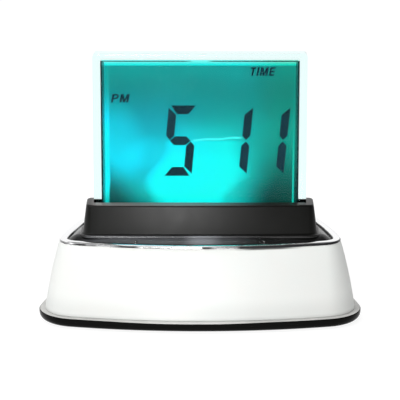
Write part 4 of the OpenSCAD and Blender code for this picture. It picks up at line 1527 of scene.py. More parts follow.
@dataclass
class FootPlate:
    """The black foot plate with its rolled edge, its battery bay, the feet and the door."""

    dresser: Dresser
    plan: BasePlan
    roll_w: float = 2.2 * MM
    roll_h: float = 2.8 * MM
    edge: float = 0.4 * MM
    top: float = 4.4 * MM
    roll_steps: int = 12
    bay_wall: float = 1.6 * MM
    bay_play: float = 0.3 * MM
    bay_front: float = 2.1 * MM
    bay_air: float = 0.4 * MM
    foot_in: float = 7.6 * MM
    foot_turns: Span = (-25, 55)
    foot_r: float = 4.5 * MM
    foot_play: float = 0.1 * MM
    foot_seat: float = 0.9 * MM
    foot_dimple: float = 0.25 * MM
    dimple_rim: Span = span(2.2, 2.6)
    foot_round: float = 0.4 * MM
    foot_cut: Span = span(0.1, 0.12)
    screw_in: float = 15.5 * MM
    screw_turns: Span = (-80, 36)
    screw_r: float = 2.84 * MM
    screw_deep: float = 4.9 * MM
    sound_r: float = 0.7 * MM
    sound_ring: float = 4 * MM
    sound_holes: int = 6
    sound_sides: int = 16

    def build(self) -> None:
        """Makes the plate and the feet, and dresses the door."""
        self.make_plate()
        self.make_feet()
        self.dresser.node("battery_door", Slot.BLACK)

    def make_plate(self) -> None:
        """The plate itself, with its bay and recesses."""
        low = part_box("base_plate")[0].z
        levels = []
        for i in range(self.roll_steps + 1):
            turn = QUARTER_TURN * i / self.roll_steps
            inset, rise = self.roll_w * (1 - math.sin(turn)), self.roll_h * (1 - math.cos(turn))
            levels.append((inset, low + rise))
        levels += rolled_in(self.edge, self.top)
        plate = skin("foot_plate", [self.plan.ring(inset, level) for inset, level in levels])
        door_high, cells_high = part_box("battery_door")[1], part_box("battery_cells")[1]
        plates_low, plates_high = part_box("battery_plates")
        bay_low = Vector((plates_low.x, plates_low.y - self.bay_front, low - OVERRUN))
        bay_high = Vector((plates_high.x, door_high.y + self.bay_play, cells_high.z + self.bay_air))
        margin = Vector((self.bay_wall, self.bay_wall, 0))
        shell_low = Vector((bay_low.x, bay_low.y, self.top - self.edge)) - margin
        carved(plate, [block(shell_low, bay_high + margin + UP * self.bay_wall)], Cut.JOIN)
        seat_r, seat_top = self.foot_r + self.foot_play, low + self.foot_seat
        feet = self.plan.corner_spots(self.foot_in, self.foot_turns)
        screws = self.plan.corner_spots(self.screw_in, self.screw_turns)
        tools = [block(bay_low, bay_high)]
        tools += [self.pit(spot, seat_r, seat_top) for spot in feet]
        tools += [self.pit(spot, self.screw_r, self.screw_deep) for spot in screws]
        through = self.top + OVERRUN
        tools += [self.pit(spot, self.sound_r, through, self.sound_sides) for spot in self.sound_spots()]
        carved(plate, tools)
        self.dresser.piece(plate, Slot.BLACK, Body.ROOT, "base_plate")

    def sound_spots(self) -> Outline:
        """Places of the sound holes under the buzzer."""
        low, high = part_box("buzzer")
        middle = ((low + high) / 2).xy
        return [middle] + arc(middle, self.sound_ring, 0, 2 * HALF_TURN, self.sound_holes)

    @staticmethod
    def pit(spot: Vector, radius: float, top: float, sides: int = 40) -> bpy.types.Object:
        """A round cutter from below.

        Args:
            spot: Its middle.
            radius: Its radius.
            top: How high it reaches.
            sides: Points round it.

        Returns:
            The cutter.
        """
        outline = arc(spot, radius, 0, 2 * HALF_TURN, sides)
        return skin("pit", [lifted(outline, level) for level in (-OVERRUN, top)])

    def make_feet(self) -> None:
        """Four rubber feet with a rounded edge and a dimple."""
        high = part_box("rubber_feet")[1].z
        inner, outer = self.dimple_rim
        cut_in, cut_up = self.foot_cut
        profile = [(0, self.foot_dimple), (inner, self.foot_dimple), (outer, 0)]
        profile += [(self.foot_r - self.foot_round, 0), (self.foot_r - cut_in, cut_up)]
        profile += [(self.foot_r, self.foot_round), (self.foot_r, high), (0, high)]
        feet = [
            turned("foot", profile, Matrix.Translation(lifted([spot], 0)[0]))
            for spot in self.plan.corner_spots(self.foot_in, self.foot_turns)
        ]
        self.dresser.piece(merged("feet", feet), Slot.RUBBER, Body.ROOT, "rubber_feet")


def rolled_in(radius: float, top: float, start: float = 0.0, steps: int = 4) -> list[Span]:
    """Levels of a rounded upper edge, as pairs of inset and height.

    Args:
        radius: Radius of the rounding.
        top: Height of the top.
        start: Inset below the rounding.
        steps: Faces across it.

    Returns:
        The levels, from the side to the top.
    """
    turns = [QUARTER_TURN * i / steps for i in range(steps + 1)]
    return [(start + radius * (1 - math.cos(t)), top - radius * (1 - math.sin(t))) for t in turns]


@dataclass
class Housing:
    """The white tapered housing with its chrome ring."""

    dresser: Dresser
    plan: BasePlan
    ledge: float = 2.45 * MM
    taper: float = 6.2 * MM
    belly: float = 0.55 * MM
    wall: float = 2.2 * MM
    flange: float = 2 * MM
    seat: float = 15.5 * MM
    foot_round: float = 0.35 * MM
    top_round: float = 0.3 * MM
    steps: int = 22
    window_w: float = 66.4 * MM
    window_h: float = 13.4 * MM
    window_r: float = 2 * MM
    window_out: float = 6 * MM
    ring_w: float = 3.4 * MM
    ring_base: float = 0.3 * MM
    ring_lip: float = 0.1 * MM
    bead_h: float = 1.1 * MM
    bead_steps: int = 16

    def lean_in(self, share: float) -> float:
        """Inset of the outer face at a share of the height."""
        return self.ledge + self.taper * share - 4 * self.belly * share * (1 - share)

    def build(self) -> None:
        """Makes the shell and the ring."""
        low, high = (corner.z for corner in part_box("housing"))
        tall = high - low
        shares = [i / self.steps for i in range(self.steps + 1)]
        outer = [(self.lean_in(s), low + s * tall) for s in shares]
        outer[0] = (outer[0][0], low + self.foot_round)
        outer[-1] = (outer[-1][0], high - self.top_round)
        inner_shares = [s * (tall - self.flange) / tall for s in reversed(shares)]
        inner = [(self.lean_in(s) + self.wall, low + s * tall) for s in inner_shares]
        section = [(self.ledge + self.foot_round, low)] + outer
        section += [(self.lean_in(1) + self.top_round, high)]
        section += [(self.seat, high), (self.seat, high - self.flange)] + inner
        shell = skin("housing_shell", [self.plan.ring(*level) for level in section], joined=True)
        carved(shell, [self.window()])
        self.dresser.piece(shell, Slot.WHITE, Body.ROOT, "housing")
        self.make_ring(high)

    def window(self) -> bpy.types.Object:
        """Cutter for the rear control panel."""
        panel = PanelFrame()
        outline = rounded_box(self.window_w, self.window_h, self.window_r)
        flats = [lifted(outline, level) for level in (panel.back, self.window_out)]
        return skin("window", [[panel.place @ point for point in flat] for flat in flats])

    def make_ring(self, level: float) -> None:
        """The chrome ring on the housing's top.

        Args:
            level: Height of its foot.
        """
        start = self.lean_in(1)
        section = [(start + self.ring_lip, level)]
        for i in range(self.bead_steps + 1):
            turn = HALF_TURN * i / self.bead_steps
            inset, rise = self.ring_w / 2 * (1 - math.cos(turn)), self.bead_h * math.sin(turn)
            section.append((start + inset, level + self.ring_base + rise))
        section += [(start + self.ring_w - self.ring_lip, level)]
        ring = skin("trim_ring", [self.plan.ring(*spot) for spot in section], joined=True)
        self.dresser.piece(ring, Slot.CHROME, Body.ROOT, "chrome_ring")


@dataclass
class PanelFrame:
    """The rear panel's own frame: x to the right as seen from behind, y up the wall, z outward."""

    face: float = 2.4 * MM
    flange: float = 1.6 * MM
    button_deep: float = 5.7 * MM
    button_proud: float = 1.2 * MM

    def __post_init__(self) -> None:
        """Works out the frame from the push buttons' place and the way that they move."""
        press = next(j for j in frame["joints"] if j["name"] == "mode_button_press")["axis"]
        out = -Vector(press).normalized()
        right = Vector((-1, 0, 0))
        rise = out.cross(right)
        low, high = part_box("mode_button")
        shaft = (low + high) / 2
        origin = Vector((0, shaft.y, shaft.z)) + out * (self.button_deep - self.button_proud) / 2
        self.place = Matrix.Translation(origin) @ Matrix((right, rise, out)).transposed().to_4x4()
        self.back = -self.face - self.flange


@dataclass
class Deck:
    """The black deck, the step under the holder and the light bar."""

    dresser: Dresser
    plan: BasePlan
    holder_plan: "HolderPlan"
    inset: float = 12.2 * MM
    seat: float = 15.5 * MM
    hollow: float = 0.6 * MM
    roll_w: float = 4.2 * MM
    roll_h: float = 2.4 * MM
    roll_fall: float = 1.5
    roll_steps: int = 10
    step_w: float = 1.2 * MM
    step_h: float = 0.5 * MM
    step_round: float = 0.5 * MM
    bar_w: float = 36 * MM
    bar_d: float = 8 * MM
    bar_r: float = 3.6 * MM
    bar_play: float = 0.2 * MM
    bar_round: float = 0.7 * MM
    bar_round_steps: int = 6
    bar_dish: tuple[Span, ...] = (span(1.6, 0.06), span(2.6, 0.16))
    rim_drop: float = 0.5 * MM
    rim_w: float = 1.5 * MM
    rim_t: float = 1 * MM
    stem_r: float = 1.6 * MM
    stem_sides: int = 32

    def build(self) -> None:
        """Makes the deck and the bar."""
        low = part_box("deck")[0].z
        step_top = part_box("case_front")[0].z
        top = step_top - self.step_h
        levels = [(self.seat, low + self.hollow), (self.seat, low), (self.inset, low)]
        for i in range(self.roll_steps + 1):
            share = i / self.roll_steps
            drop = self.roll_h * (1 - share) ** self.roll_fall
            levels.append((self.inset + self.roll_w * share, top - drop))
        deck = skin("deck_top", [self.plan.ring(*level) for level in levels])
        flare = [(-self.step_w, top - self.step_round)]
        flare += rolled_in(self.step_round, step_top, -self.step_w)
        carved(deck, [skin("step", [self.holder_plan.ring(*level) for level in flare])], Cut.JOIN)
        bar_low, bar_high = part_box("light_button")
        middle = (bar_low + bar_high) / 2
        play = self.bar_play
        hole = rounded_box(self.bar_w + 2 * play, self.bar_d + 2 * play, self.bar_r + play)
        carved(deck, [self.standing("hole", hole, middle, (low - OVERRUN, step_top + OVERRUN))])
        self.dresser.piece(deck, Slot.DECK, Body.ROOT, "deck")
        self.make_bar(middle, low, bar_low.z, bar_high.z)

    @staticmethod
    def standing(
        name: str, outline: Outline, middle: Vector, levels: Sequence[float]
    ) -> bpy.types.Object:
        """An upright solid of one outline round a middle."""
        flat = [p + middle.xy for p in outline]
        return skin(name, [lifted(flat, level) for level in levels])

    def make_bar(self, middle: Vector, deck_low: float, foot: float, top: float) -> None:
        """The light bar: a rounded key on a rim and a stem.

        Args:
            middle: Its middle.
            deck_low: Height of the deck's foot.
            foot: Height of its stem's foot.
            top: Height of its top.
        """
        rim_z = deck_low - self.rim_drop
        rounding = rolled_in(self.bar_round, top, 0, self.bar_round_steps)
        dish = [(inset, top - drop) for inset, drop in self.bar_dish]
        rings = []
        for inset, level in [(0, rim_z)] + rounding + dish:
            flat = rounded_box(self.bar_w - 2 * inset, self.bar_d - 2 * inset, self.bar_r - inset)
            rings.append(lifted([p + middle.xy for p in flat], level))
        key = skin("key", rings)
        wide, deep = self.bar_w + 2 * self.rim_w, self.bar_d + 2 * self.rim_w
        rim_outline = rounded_box(wide, deep, self.bar_r + self.rim_w)
        rim = self.standing("rim", rim_outline, middle, (rim_z, rim_z + self.rim_t))
        stem_outline = arc((0, 0), self.stem_r, 0, 2 * HALF_TURN, self.stem_sides)
        stem = self.standing("stem", stem_outline, middle, (foot, rim_z + self.rim_t / 2))
        carved(key, [rim, stem], Cut.JOIN)
        key.name = "light_bar"
        self.dresser.piece(key, Slot.DECK, Body.LIGHT, "light_button")


@dataclass(frozen=True)
class HolderPlan:
    """Plan of the display holder: a bowed front, round corners and a straight back."""

    width: float = 95.4 * MM
    bow: float = 1200 * MM
    corner: float = 3.6 * MM
    least: float = 0.3 * MM
    bow_steps: int = 12
    corner_steps: int = 10

    def ring(self, inset: float, level: float) -> Outline:
        """The outline drawn in by an inset, at a level."""
        front, rear = (corner.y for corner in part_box("display_holder"))
        bow_centre = Vector((0, front + self.bow))
        turn = -math.acos((self.width / 2 - self.corner) / (self.bow - self.corner))
        near = bow_centre + (self.bow - self.corner) * Vector((math.cos(turn), math.sin(turn)))
        far = Vector((self.width / 2 - self.corner, rear - self.corner))
        small = max(self.corner - inset, self.least)
        half = arc(bow_centre, self.bow - inset, -QUARTER_TURN, turn, self.bow_steps)
        half += arc(near, small, turn, 0, self.corner_steps)
        half += arc(far, small, 0, QUARTER_TURN, self.corner_steps)
        half += [Vector((far.x, rear - inset)), Vector((0, rear - inset))]
        return lifted(mirrored(half), level)


@dataclass
class Holder:
    """The satin block that the clear case stands in."""

    dresser: Dresser
    plan: HolderPlan
    draft: float = 1.4 * MM
    edge: float = 0.8 * MM
    cove: float = 0.7 * MM
    cove_steps: int = 4
    slot_w: float = 86.6 * MM
    slot_d: float = 6.6 * MM
    lug_w: float = 0.9 * MM
    lug_h: float = 2.6 * MM
    edge_steps: int = 10

    def build(self) -> None:
        """Makes the block with its slot."""
        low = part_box("case_front")[0].z
        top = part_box("display_holder")[1].z
        case_low, case_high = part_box("case_front")[0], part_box("case_rear")[1]
        shares = [i / self.cove_steps for i in range(self.cove_steps + 1)]
        levels = [(-self.cove * (1 - share) ** 2, low + self.cove * share) for share in shares]
        levels += rolled_in(self.edge, top, self.draft, self.edge_steps)
        body = skin("holder_block", [self.plan.ring(*level) for level in levels])
        middle = (case_low.y + case_high.y) / 2
        half = Vector((self.slot_w / 2, self.slot_d / 2, 0))
        spot = Vector((0, middle, 0))
        foot = UP * (low - OVERRUN)
        slot = block(spot - half + foot, spot + half + UP * (top + OVERRUN))
        half.x += self.lug_w
        lugs = block(spot - half + foot, spot + half + UP * (low + self.lug_h))
        carved(body, [slot, lugs])
        self.dresser.piece(body, Slot.BLOCK, Body.ROOT, "display_holder")


@dataclass
class ClearCase:
    """The clear case: a front shell with a pocket and a rear plate."""

    dresser: Dresser
    corner: float = 1.6 * MM
    corner_steps: int = 6
    wall: float = 1 * MM
    pocket_w: float = 80.2 * MM
    pocket_gap: float = 2.7 * MM
    seam: float = 0.04 * MM
    rounding: float = 0.35 * MM

    def outline(self, width: float, low: float, high: float) -> Outline:
        """Front view of the case: square at its foot, round at its top."""
        x = width / 2
        corner_x, corner_z = x - self.corner, high - self.corner
        flat = [Vector((-x, low)), Vector((x, low))]
        flat += arc((corner_x, corner_z), self.corner, 0, QUARTER_TURN, self.corner_steps)
        flat += [Vector((corner_x, high)), Vector((-corner_x, high))]
        left = arc((-corner_x, corner_z), self.corner, QUARTER_TURN, HALF_TURN, self.corner_steps)
        return flat + left[1:] + [Vector((-x, corner_z))]

    @staticmethod
    def upright(outline: Outline, y: float) -> Outline:
        """A front view set upright at a depth."""
        return [Vector((p.x, y, p.y)) for p in outline]

    def build(self) -> None:
        """Makes the shell and the plate."""
        low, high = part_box("case_front")
        back_low, back_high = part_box("case_rear")
        width = back_high.x - back_low.x
        flat = self.outline(width, low.z, high.z)
        rings = [self.upright(flat, y) for y in (low.y, high.y)]
        shell = softened(skin("clear_shell", rings), self.rounding)
        x = self.pocket_w / 2
        pocket_low = Vector((-x, low.y + self.wall, low.z - OVERRUN))
        pocket_high = Vector((x, high.y + OVERRUN, high.z - self.pocket_gap))
        carved(shell, [block(pocket_low, pocket_high)])
        self.dresser.piece(shell, Slot.CLEAR, Body.ROOT, "case_front")
        rings = [self.upright(flat, y) for y in (back_low.y + self.seam, back_high.y)]
        plate = softened(skin("clear_plate", rings), self.rounding)
        self.dresser.piece(plate, Slot.CLEAR, Body.ROOT, "case_rear")


@dataclass(frozen=True)
class Letter:
    """A bold sans capital, one unit high, as overlapping strokes."""

    sign: str
    stroke: float = 0.21
    level_share: float = 0.9
    arm_share: float = 0.42
    valley_shares: tuple[float, float, float] = (0.4, 0.45, 1.3)
    valley_low: float = 0.36
    bowl_low: float = 0.4
    bowl_share: float = 0.85
    bowl_steps: int = 6
    lap: float = 0.02
    widths: dict[str, float] = field(
        default_factory=lambda: {"P": 0.68, "M": 0.88, "T": 0.62, "I": 0.21, "E": 0.6}
    )

    @property
    def width(self) -> float:
        """Width of the letter."""
        return self.widths[self.sign]

    @staticmethod
    def bar(left: float, right: float, low: float, high: float) -> list[Span]:
        """An upright or level stroke."""
        return [(left, low), (right, low), (right, high), (left, high)]

    def strokes(self) -> list[list[Span]]:
        """The letter's strokes.

        Returns:
            Closed outlines, counter-clockwise.
        """
        w, s, lap = self.width, self.stroke, self.lap
        middle, level, arm = w / 2, s * self.level_share, s * self.arm_share
        stem = self.bar(0, s, 0, 1)
        if self.sign == "I":
            return [stem]
        if self.sign == "T":
            post = self.bar(middle - s / 2, middle + s / 2, 0, 1 - level + lap)
            return [self.bar(0, w, 1 - level, 1), post]
        if self.sign == "E":
            levels = ((0, level), (0.5 - arm, 0.5 + arm), (1 - level, 1))
            return [stem] + [self.bar(s - lap, w, low, high) for low, high in levels]
        if self.sign == "M":
            out, foot, inside = (s * share for share in self.valley_shares)
            top = 1 - lap
            valley = [(out, top), (middle - foot, 0), (middle + foot, 0), (w - out, top)]
            valley += [(w - inside, top), (middle, self.valley_low), (inside, top)]
            return [stem, self.bar(w - s, w, 0, 1), valley]
        return [stem, self.bowl()]

    def bowl(self) -> list[Span]:
        """The round part of a P."""
        w, s = self.width, self.stroke
        high, low = 1.0, self.bowl_low
        outer, middle = (high - low) / 2, (high + low) / 2
        inner = outer - s * self.bowl_share
        turns = [QUARTER_TURN * (i / self.bowl_steps - 1) for i in range(2 * self.bowl_steps + 1)]
        x, start = w - outer, s - self.lap
        rim = [(x + outer * math.cos(t), middle + outer * math.sin(t)) for t in turns]
        hole = [(x + inner * math.cos(t), middle + inner * math.sin(t)) for t in reversed(turns)]
        outline = [(start, low)] + rim + [(start, high), (start, middle + inner)]
        return outline + hole + [(start, middle - inner)]


@dataclass(frozen=True)
class Word:
    """A word on the display and the space that it fills."""

    text: str
    across: Span
    up: Span


@dataclass
class Display:
    """The display: film, glasses, segments, words and the lit layers behind them."""

    dresser: Dresser
    gap: float = 0.015 * MM
    film_w: float = 80 * MM
    layer_round: float = 0.2
    layer_round_steps: int = 2
    words: tuple[Word, ...] = (
        Word("PM", span(-35.9, -28.2), span(89.45, 92.95)),
        Word("TIME", span(19.8, 30.4), span(100.4, 103.9)),
    )
    word_thick: float = 0.08 * MM
    lean: float = 0.2
    letter_gap: float = 0.16

    def build(self) -> None:
        """Makes the layers and the words."""
        self.layer("front_film", "polariser", Slot.FILM, self.film_w)
        self.layer("front_glass", "front_pane", Slot.GLASS)
        self.layer("rear_glass", "rear_pane", Slot.GLASS)
        self.layer("rear_film", "lit_film", Slot.GLOW)
        self.dresser.node("lcd_segments", Slot.DARK)
        self.dresser.node("light_guide", Slot.GLOW)
        self.dresser.node("reflector", Slot.SHEET)
        for word in self.words:
            self.write(word)

    def layer(self, node: str, name: str, slot: Slot, width: float | None = None) -> None:
        """A thin pane with rounded edges that keeps clear of the next layers.

        Args:
            node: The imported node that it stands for.
            name: Name of the piece.
            slot: Its slot.
            width: Its width, the node's if left out.
        """
        low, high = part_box(node)
        half = (width or high.x - low.x) / 2
        low = Vector((-half, low.y + self.gap, low.z))
        high = Vector((half, high.y - self.gap, high.z))
        rounding = (high.y - low.y) * self.layer_round
        pane = softened(block(low, high, name), rounding, self.layer_round_steps)
        self.dresser.piece(pane, slot, Body.ROOT, node)

    def write(self, word: Word) -> None:
        """A plain leaning word on the display's dark layer.

        Args:
            word: The word and its place.
        """
        (left, right), (low, high) = word.across, word.up
        letters = [Letter(sign) for sign in word.text]
        total = sum(letter.width for letter in letters) + self.letter_gap * (len(letters) - 1)
        tall = high - low
        scale = (right - left - self.lean * tall) / total
        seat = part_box("lcd_segments")[0].y + self.gap
        solids = []
        for letter in letters:
            for stroke in letter.strokes():
                flat = [(left + x * scale + self.lean * tall * y, low + tall * y) for x, y in stroke]
                depths = (seat, seat + self.word_thick)
                rings = [[Vector((x, depth, z)) for x, z in flat] for depth in depths]
                solids.append(skin("stroke", rings))
            left += (letter.width + self.letter_gap) * scale
        piece = solids.pop()
        carved(piece, solids, Cut.JOIN)
        piece.name = f"word_{word.text.lower()}"
        self.dresser.piece(piece, Slot.DARK, Body.ROOT)


@dataclass
class RearControls:
    """The rear panel with its push buttons and alarm slide."""

    dresser: Dresser
    radius: float = 3 * MM
    proud: float = 1.2 * MM
    flange_r: float = 3.9 * MM
    flange_t: float = 0.8 * MM
    flange_z: float = -4.9 * MM
    stem_z: float = -5.7 * MM
    cap_round: float = 0.45 * MM
    cap_dish: tuple[Span, ...] = (span(1.9, 0.05), span(1.1, 0.2), span(0, 0.26))

    def build(self) -> None:
        """Makes the buttons and dresses the panel."""
        self.dresser.node("rear_panel", Slot.BLACK)
        self.dresser.node("alarm_knob", Slot.BUTTON)
        self.dresser.node("alarm_switch", Slot.STEEL)
        for body in (Body.MODE, Body.SET, Body.UP, Body.DOWN):
            self.make_button(body)

    def make_button(self, body: Body) -> None:
        """A push button with a shallow dish.

        Args:
            body: The body that it is.
        """
        panel = PanelFrame()
        low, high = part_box(body.value)
        place = Matrix.Translation(Vector(((low.x + high.x) / 2, 0, 0))) @ panel.place
        neck, flange_top = self.radius / 2, self.flange_z + self.flange_t
        profile = [(0, self.stem_z), (neck, self.stem_z), (neck, self.flange_z)]
        profile += [(self.flange_r, self.flange_z), (self.flange_r, flange_top)]
        profile += [(self.radius, flange_top)]
        profile += rolled(self.radius, self.proud, self.cap_round)
        profile += [(radius, self.proud - drop) for radius, drop in self.cap_dish]
        cap = turned(f"{body.value}_cap", profile, place)
        self.dresser.piece(cap, Slot.BUTTON, body, body.value)


@dataclass
class Power:
    """Cells, springs, contacts, leads and the buzzer."""

    dresser: Dresser
    cell_r: float = 5.2 * MM
    turns: int = 5
    wire: float = 0.35 * MM
    steps: int = 26
    length: float = 6.7 * MM
    wide: float = 3.6 * MM
    narrow: float = 1.8 * MM

    def build(self) -> None:
        """Dresses the cells and contacts and winds the springs."""
        self.dresser.node("battery_cells", Slot.CELL)
        self.dresser.node("battery_plates", Slot.STEEL)
        self.dresser.node("battery_leads", Slot.WIRE)
        self.dresser.node("buzzer", Slot.BRASS)
        low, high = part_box("battery_springs")
        cells_low, cells_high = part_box("battery_cells")
        pitch = (cells_high.y - cells_low.y - 2 * self.cell_r) / 2
        middle = (low.z + high.z) / 2
        first = cells_low.y + self.cell_r
        springs = [
            self.spring(Vector((side * high.x, first + i * pitch, middle)), -side)
            for i, side in enumerate((-1, 1, -1))
        ]
        coils = merged("spring_coils", springs)
        self.dresser.piece(coils, Slot.SPRING, Body.ROOT, "battery_springs")

    def spring(self, seat: Vector, way: int) -> bpy.types.Object:
        """One conical spring.

        Args:
            seat: Where its wide end is fixed.
            way: 1 if it points to the right, -1 if to the left.

        Returns:
            The spring.
        """
        count = self.turns * self.steps
        path = []
        for i in range(count + 1):
            share = i / count
            turn = 2 * HALF_TURN * self.turns * share
            radius = self.wide + (self.narrow - self.wide) * share - self.wire
            along = self.wire + (self.length - 2 * self.wire) * share
            y, z = radius * math.cos(turn), radius * math.sin(turn)
            path.append(seat + Vector((way * along, y, z)))
        return tube("spring", path, self.wire)


@dataclass
class Inside:
    """Boards, parts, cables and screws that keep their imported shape."""

    dresser: Dresser
    slots: dict[Slot, tuple[str, ...]] = field(default_factory=lambda: {
        Slot.BOARD: ("main_board", "key_board", "led_board"),
        Slot.STEEL: (
            "case_screws",
            "board_screws",
            "key_screws",
            "deck_screws",
            "holder_screws",
            "crystal",
        ),
        Slot.PART: ("chip_blob", "capacitor", "light_switch", "key_switches"),
        Slot.IVORY: ("ribbon_socket",),
        Slot.WIRE: ("led_leads",),
        Slot.RIBBON: ("lcd_ribbon",),
        Slot.CABLE: ("key_ribbon",),
        Slot.GLOW: ("leds",),
    })

    def build(self) -> None:
        """Dresses every node."""
        for slot, names in self.slots.items():
            for name in names:
                self.dresser.node(name, slot)


@dataclass(frozen=True)
class Lamp:
    """A square soft lamp, with its width, its power in watts and whether gloss reflects it."""

    name: str
    place: tuple[float, float, float]
    size: float
    power: float
    mirrored: bool = True

    def hang(self, aim: Vector) -> None:
        """Adds the lamp, pointing at a place."""
        light = bpy.data.lights.new(self.name, "AREA")
        light.size = self.size
        light.energy = self.power
        lamp = bpy.data.objects.new(self.name, light)
        lamp.location = self.place
        lamp.rotation_euler = (lamp.location - aim).to_track_quat("Z", "Y").to_euler()
        lamp.visible_camera = False
        lamp.visible_glossy = self.mirrored
        bpy.context.scene.collection.objects.link(lamp)


@dataclass(frozen=True)
class Floor:
    """A pale floor that shows as white and keeps the object's shadow. Spans are in metres."""

    half: float = 4.0
    level: float = -0.02 * MM
    paper: Color = (0.55, 0.55, 0.55)
    shaded: Color = (0.2, 0.2, 0.2)
    lift: float = 0.89
    near_y: Span = (-1.4, -0.7)
    near_x: Span = (0.0, 0.25)
    near_loss: float = 0.8

    def build(self) -> None:
        """Makes the floor. Gloss finds it white near the object, and less so to the right."""
        form = bmesh.new()
        corners = ((-1, -1), (1, -1), (1, 1), (-1, 1))
        spots = [(x * self.half, y * self.half, self.level) for x, y in corners]
        form.faces.new([form.verts.new(spot) for spot in spots])
        floor = finished("floor", form)
        shader = Shader.named("floor_paper")
        x, y, _ = shader.axes()
        near = y.step(*self.near_y) * (1 - self.near_loss * x.step(*self.near_x))
        paper = shader.node("ShaderNodeBsdfDiffuse", inputs={"Color": opaque(self.paper)})
        shade = shader.node("ShaderNodeBsdfDiffuse", inputs={"Color": opaque(self.shaded)})
        light = {"Color": opaque(WHITE), "Strength": self.lift}
        lift = shader.node("ShaderNodeEmission", inputs=light)
        shown = shader.node("ShaderNodeAddShader", inputs={0: shade, 1: lift})
        seen = shader.seen_by("Camera", "Transmission").higher_of(shader.seen_by("Glossy") * near)
        shader.close(shader.node("ShaderNodeMixShader", inputs={0: seen, 1: paper, 2: shown}))
        floor.data.materials.append(shader.owner)


@dataclass(frozen=True)
class Room:
    """A soft world. It shows as white, in reflections too, but these find the room dim in front.

    Spans are parts of a direction. The turn is its part to the right over one less its part to the
    back.
    """

    light: float = 0.4
    front_y: Span = (-0.1, -0.6)
    low_z: Span = (0.6, 0.3)
    dim: float = 0.36
    dimmer: float = 0.18
    dimmer_x: Span = (-0.1, 0.4)
    right: float = 0.88
    right_turn: Span = (-0.02, 0.1)
    left: float = 0.75
    left_turn: Span = (-0.158, -0.18)
    left_end: Span = (-0.9, -0.6)
    sides_y: Span = (0.5, 0.2)

    def build(self) -> None:
        """Makes the world."""
        world = bpy.data.worlds.new("studio")
        bpy.context.scene.world = world
        shader = Shader(world)
        x, y, z = shader.parts(shader.node("ShaderNodeTexCoord", output="Generated"))
        dim = self.dim + self.dimmer * x.step(*self.dimmer_x)
        dim = dim * y.step(*self.front_y) * z.step(*self.low_z)
        turn = x / (1.0 - y)
        right = turn.step(*self.right_turn) * self.right
        left = turn.step(*self.left_turn) * turn.step(*self.left_end) * self.left
        dim = dim.higher_of(right.higher_of(left) * y.step(*self.sides_y))
        glossy = shader.seen_by("Glossy")
        shown = shader.seen_by("Camera", "Transmission", "Glossy") - glossy * dim
        strength = shown.higher_of(self.light * (1 - glossy))
        inputs = {"Color": opaque(WHITE), "Strength": strength}
        shader.close(shader.node("ShaderNodeBackground", inputs=inputs))


@dataclass
class Studio:
    """Camera, floor, world and lamps."""

    aim: Vector = field(default_factory=lambda: Vector((0, -19.5 * MM, 51 * MM)))
    distance: float = 938 * MM
    pitch: float = math.radians(15)
    sensor: float = 36.0
    focal_px: float = 2321.8
    frame_px: int = 400
    far: float = 20.0
    lamps: tuple[Lamp, ...] = (
        Lamp("front_light", (-0.13, -1.32, 0.16), 0.24, 7.5),
        Lamp("key_light", (-0.95, -0.75, 0.95), 0.8, 8.8),
        Lamp("top_light", (-0.1, 0.3, 1.25), 0.9, 5.0, mirrored=False),
    )

    def build(self) -> None:
        """Sets up the whole studio."""
        bpy.context.scene.view_settings.view_transform = "Standard"
        self.make_camera()
        Floor().build()
        Room().build()
        for lamp in self.lamps:
            lamp.hang(self.aim)

    def make_camera(self) -> None:
        """The camera, at the photograph's angle."""
        lens = bpy.data.cameras.new("camera")
        lens.sensor_width = self.sensor
        lens.lens = self.focal_px / self.frame_px * self.sensor
        lens.clip_end = self.far
        camera = bpy.data.objects.new("camera", lens)
        away = Vector((0, -math.cos(self.pitch), math.sin(self.pitch)))
        camera.location = self.aim + self.distance * away
        camera.rotation_euler = (QUARTER_TURN - self.pitch, 0, 0)
        bpy.context.scene.collection.objects.link(camera)
        bpy.context.scene.camera = camera


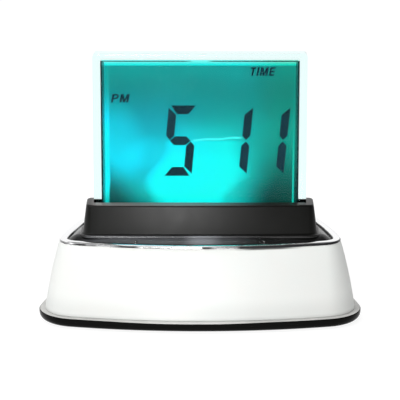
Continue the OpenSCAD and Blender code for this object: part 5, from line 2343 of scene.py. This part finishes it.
def finishes() -> dict[Slot, Finish]:
    """The finish of every slot.

    Returns:
        Finishes by slot.
    """
    low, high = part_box("rear_film")
    housing_low, housing_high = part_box("housing")
    holder_low, holder_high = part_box("display_holder")
    made = [
        FootMoulding(Slot.BLACK, (0.003, 0.003, 0.0027), rough=0.2, gloss=0.06, top=housing_low.z),
        Pearl(housing_low.z, housing_high.z),
        Trim(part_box("chrome_ring")[0].z),
        DeckMoulding(
            Slot.DECK,
            (0.008, 0.008, 0.008),
            rough=0.2,
            gloss=0.45,
            grain=0.9 * MM,
            depth=0.004 * MM,
            front=holder_low.y,
        ),
        BlockMoulding(
            Slot.BLOCK,
            (0.003, 0.0032, 0.0026),
            rough=0.35,
            gloss=0.19,
            grain=0.25 * MM,
            depth=0.01 * MM,
            top=holder_high.z,
        ),
        Pane(Slot.CLEAR, (0.9, 0.985, 0.98), bend=1.18),
        Pane(Slot.GLASS, (0.96, 0.99, 0.99), bend=1.04),
        EdgedFilm(Slot.FILM, edge_x=39.25 * MM, top_z=high.z),
        Moulding(Slot.DARK, (0.012, 0.036, 0.062), rough=0.6, gloss=0.0, drift=0.3, grain=MM),
        Glow(low.x, high.x, high.z),
        Moulding(Slot.SHEET, (0.82, 0.83, 0.83), rough=0.45, drift=0.03),
        Mask(),
        Metal(Slot.STEEL, (0.62, 0.62, 0.61), brush=(1, 1, 6)),
        Metal(Slot.SPRING, (0.72, 0.71, 0.68), rough=0.18),
        Disc(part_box("buzzer")[0].z),
        Sleeve(),
        Moulding(
            Slot.RUBBER,
            (0.03, 0.03, 0.03),
            rough=0.75,
            gloss=0.3,
            grain=0.6 * MM,
            depth=0.05 * MM,
        ),
        Moulding(Slot.PART, (0.035, 0.035, 0.036), rough=0.5),
        Moulding(Slot.IVORY, (0.72, 0.68, 0.56), rough=0.45, drift=0.05),
        Moulding(Slot.WIRE, (0.5, 0.03, 0.025), rough=0.4),
        Stripes(Slot.RIBBON, (0.5, 0.25, 0.06), (0.62, 0.36, 0.12)),
        Stripes(Slot.CABLE, (0.4, 0.41, 0.43), (0.6, 0.61, 0.63)),
        Moulding(Slot.BUTTON, (0.05, 0.047, 0.044), rough=0.55, grain=0.3 * MM, depth=0.03 * MM),
    ]
    return {finish.slot: finish for finish in made}


def main() -> None:
    """Builds the studio and every sub-assembly."""
    logging.basicConfig(level=logging.INFO, format="%(name)s: %(message)s")
    Studio().build()
    dresser = Dresser(finishes())
    plan = BasePlan()
    holder_plan = HolderPlan()
    assemblies = [
        FootPlate(dresser, plan),
        Housing(dresser, plan),
        Deck(dresser, plan, holder_plan),
        Holder(dresser, holder_plan),
        ClearCase(dresser),
        Display(dresser),
        RearControls(dresser),
        Power(dresser),
        Inside(dresser),
    ]
    for assembly in assemblies:
        assembly.build()


if __name__ == "__main__":
    main()
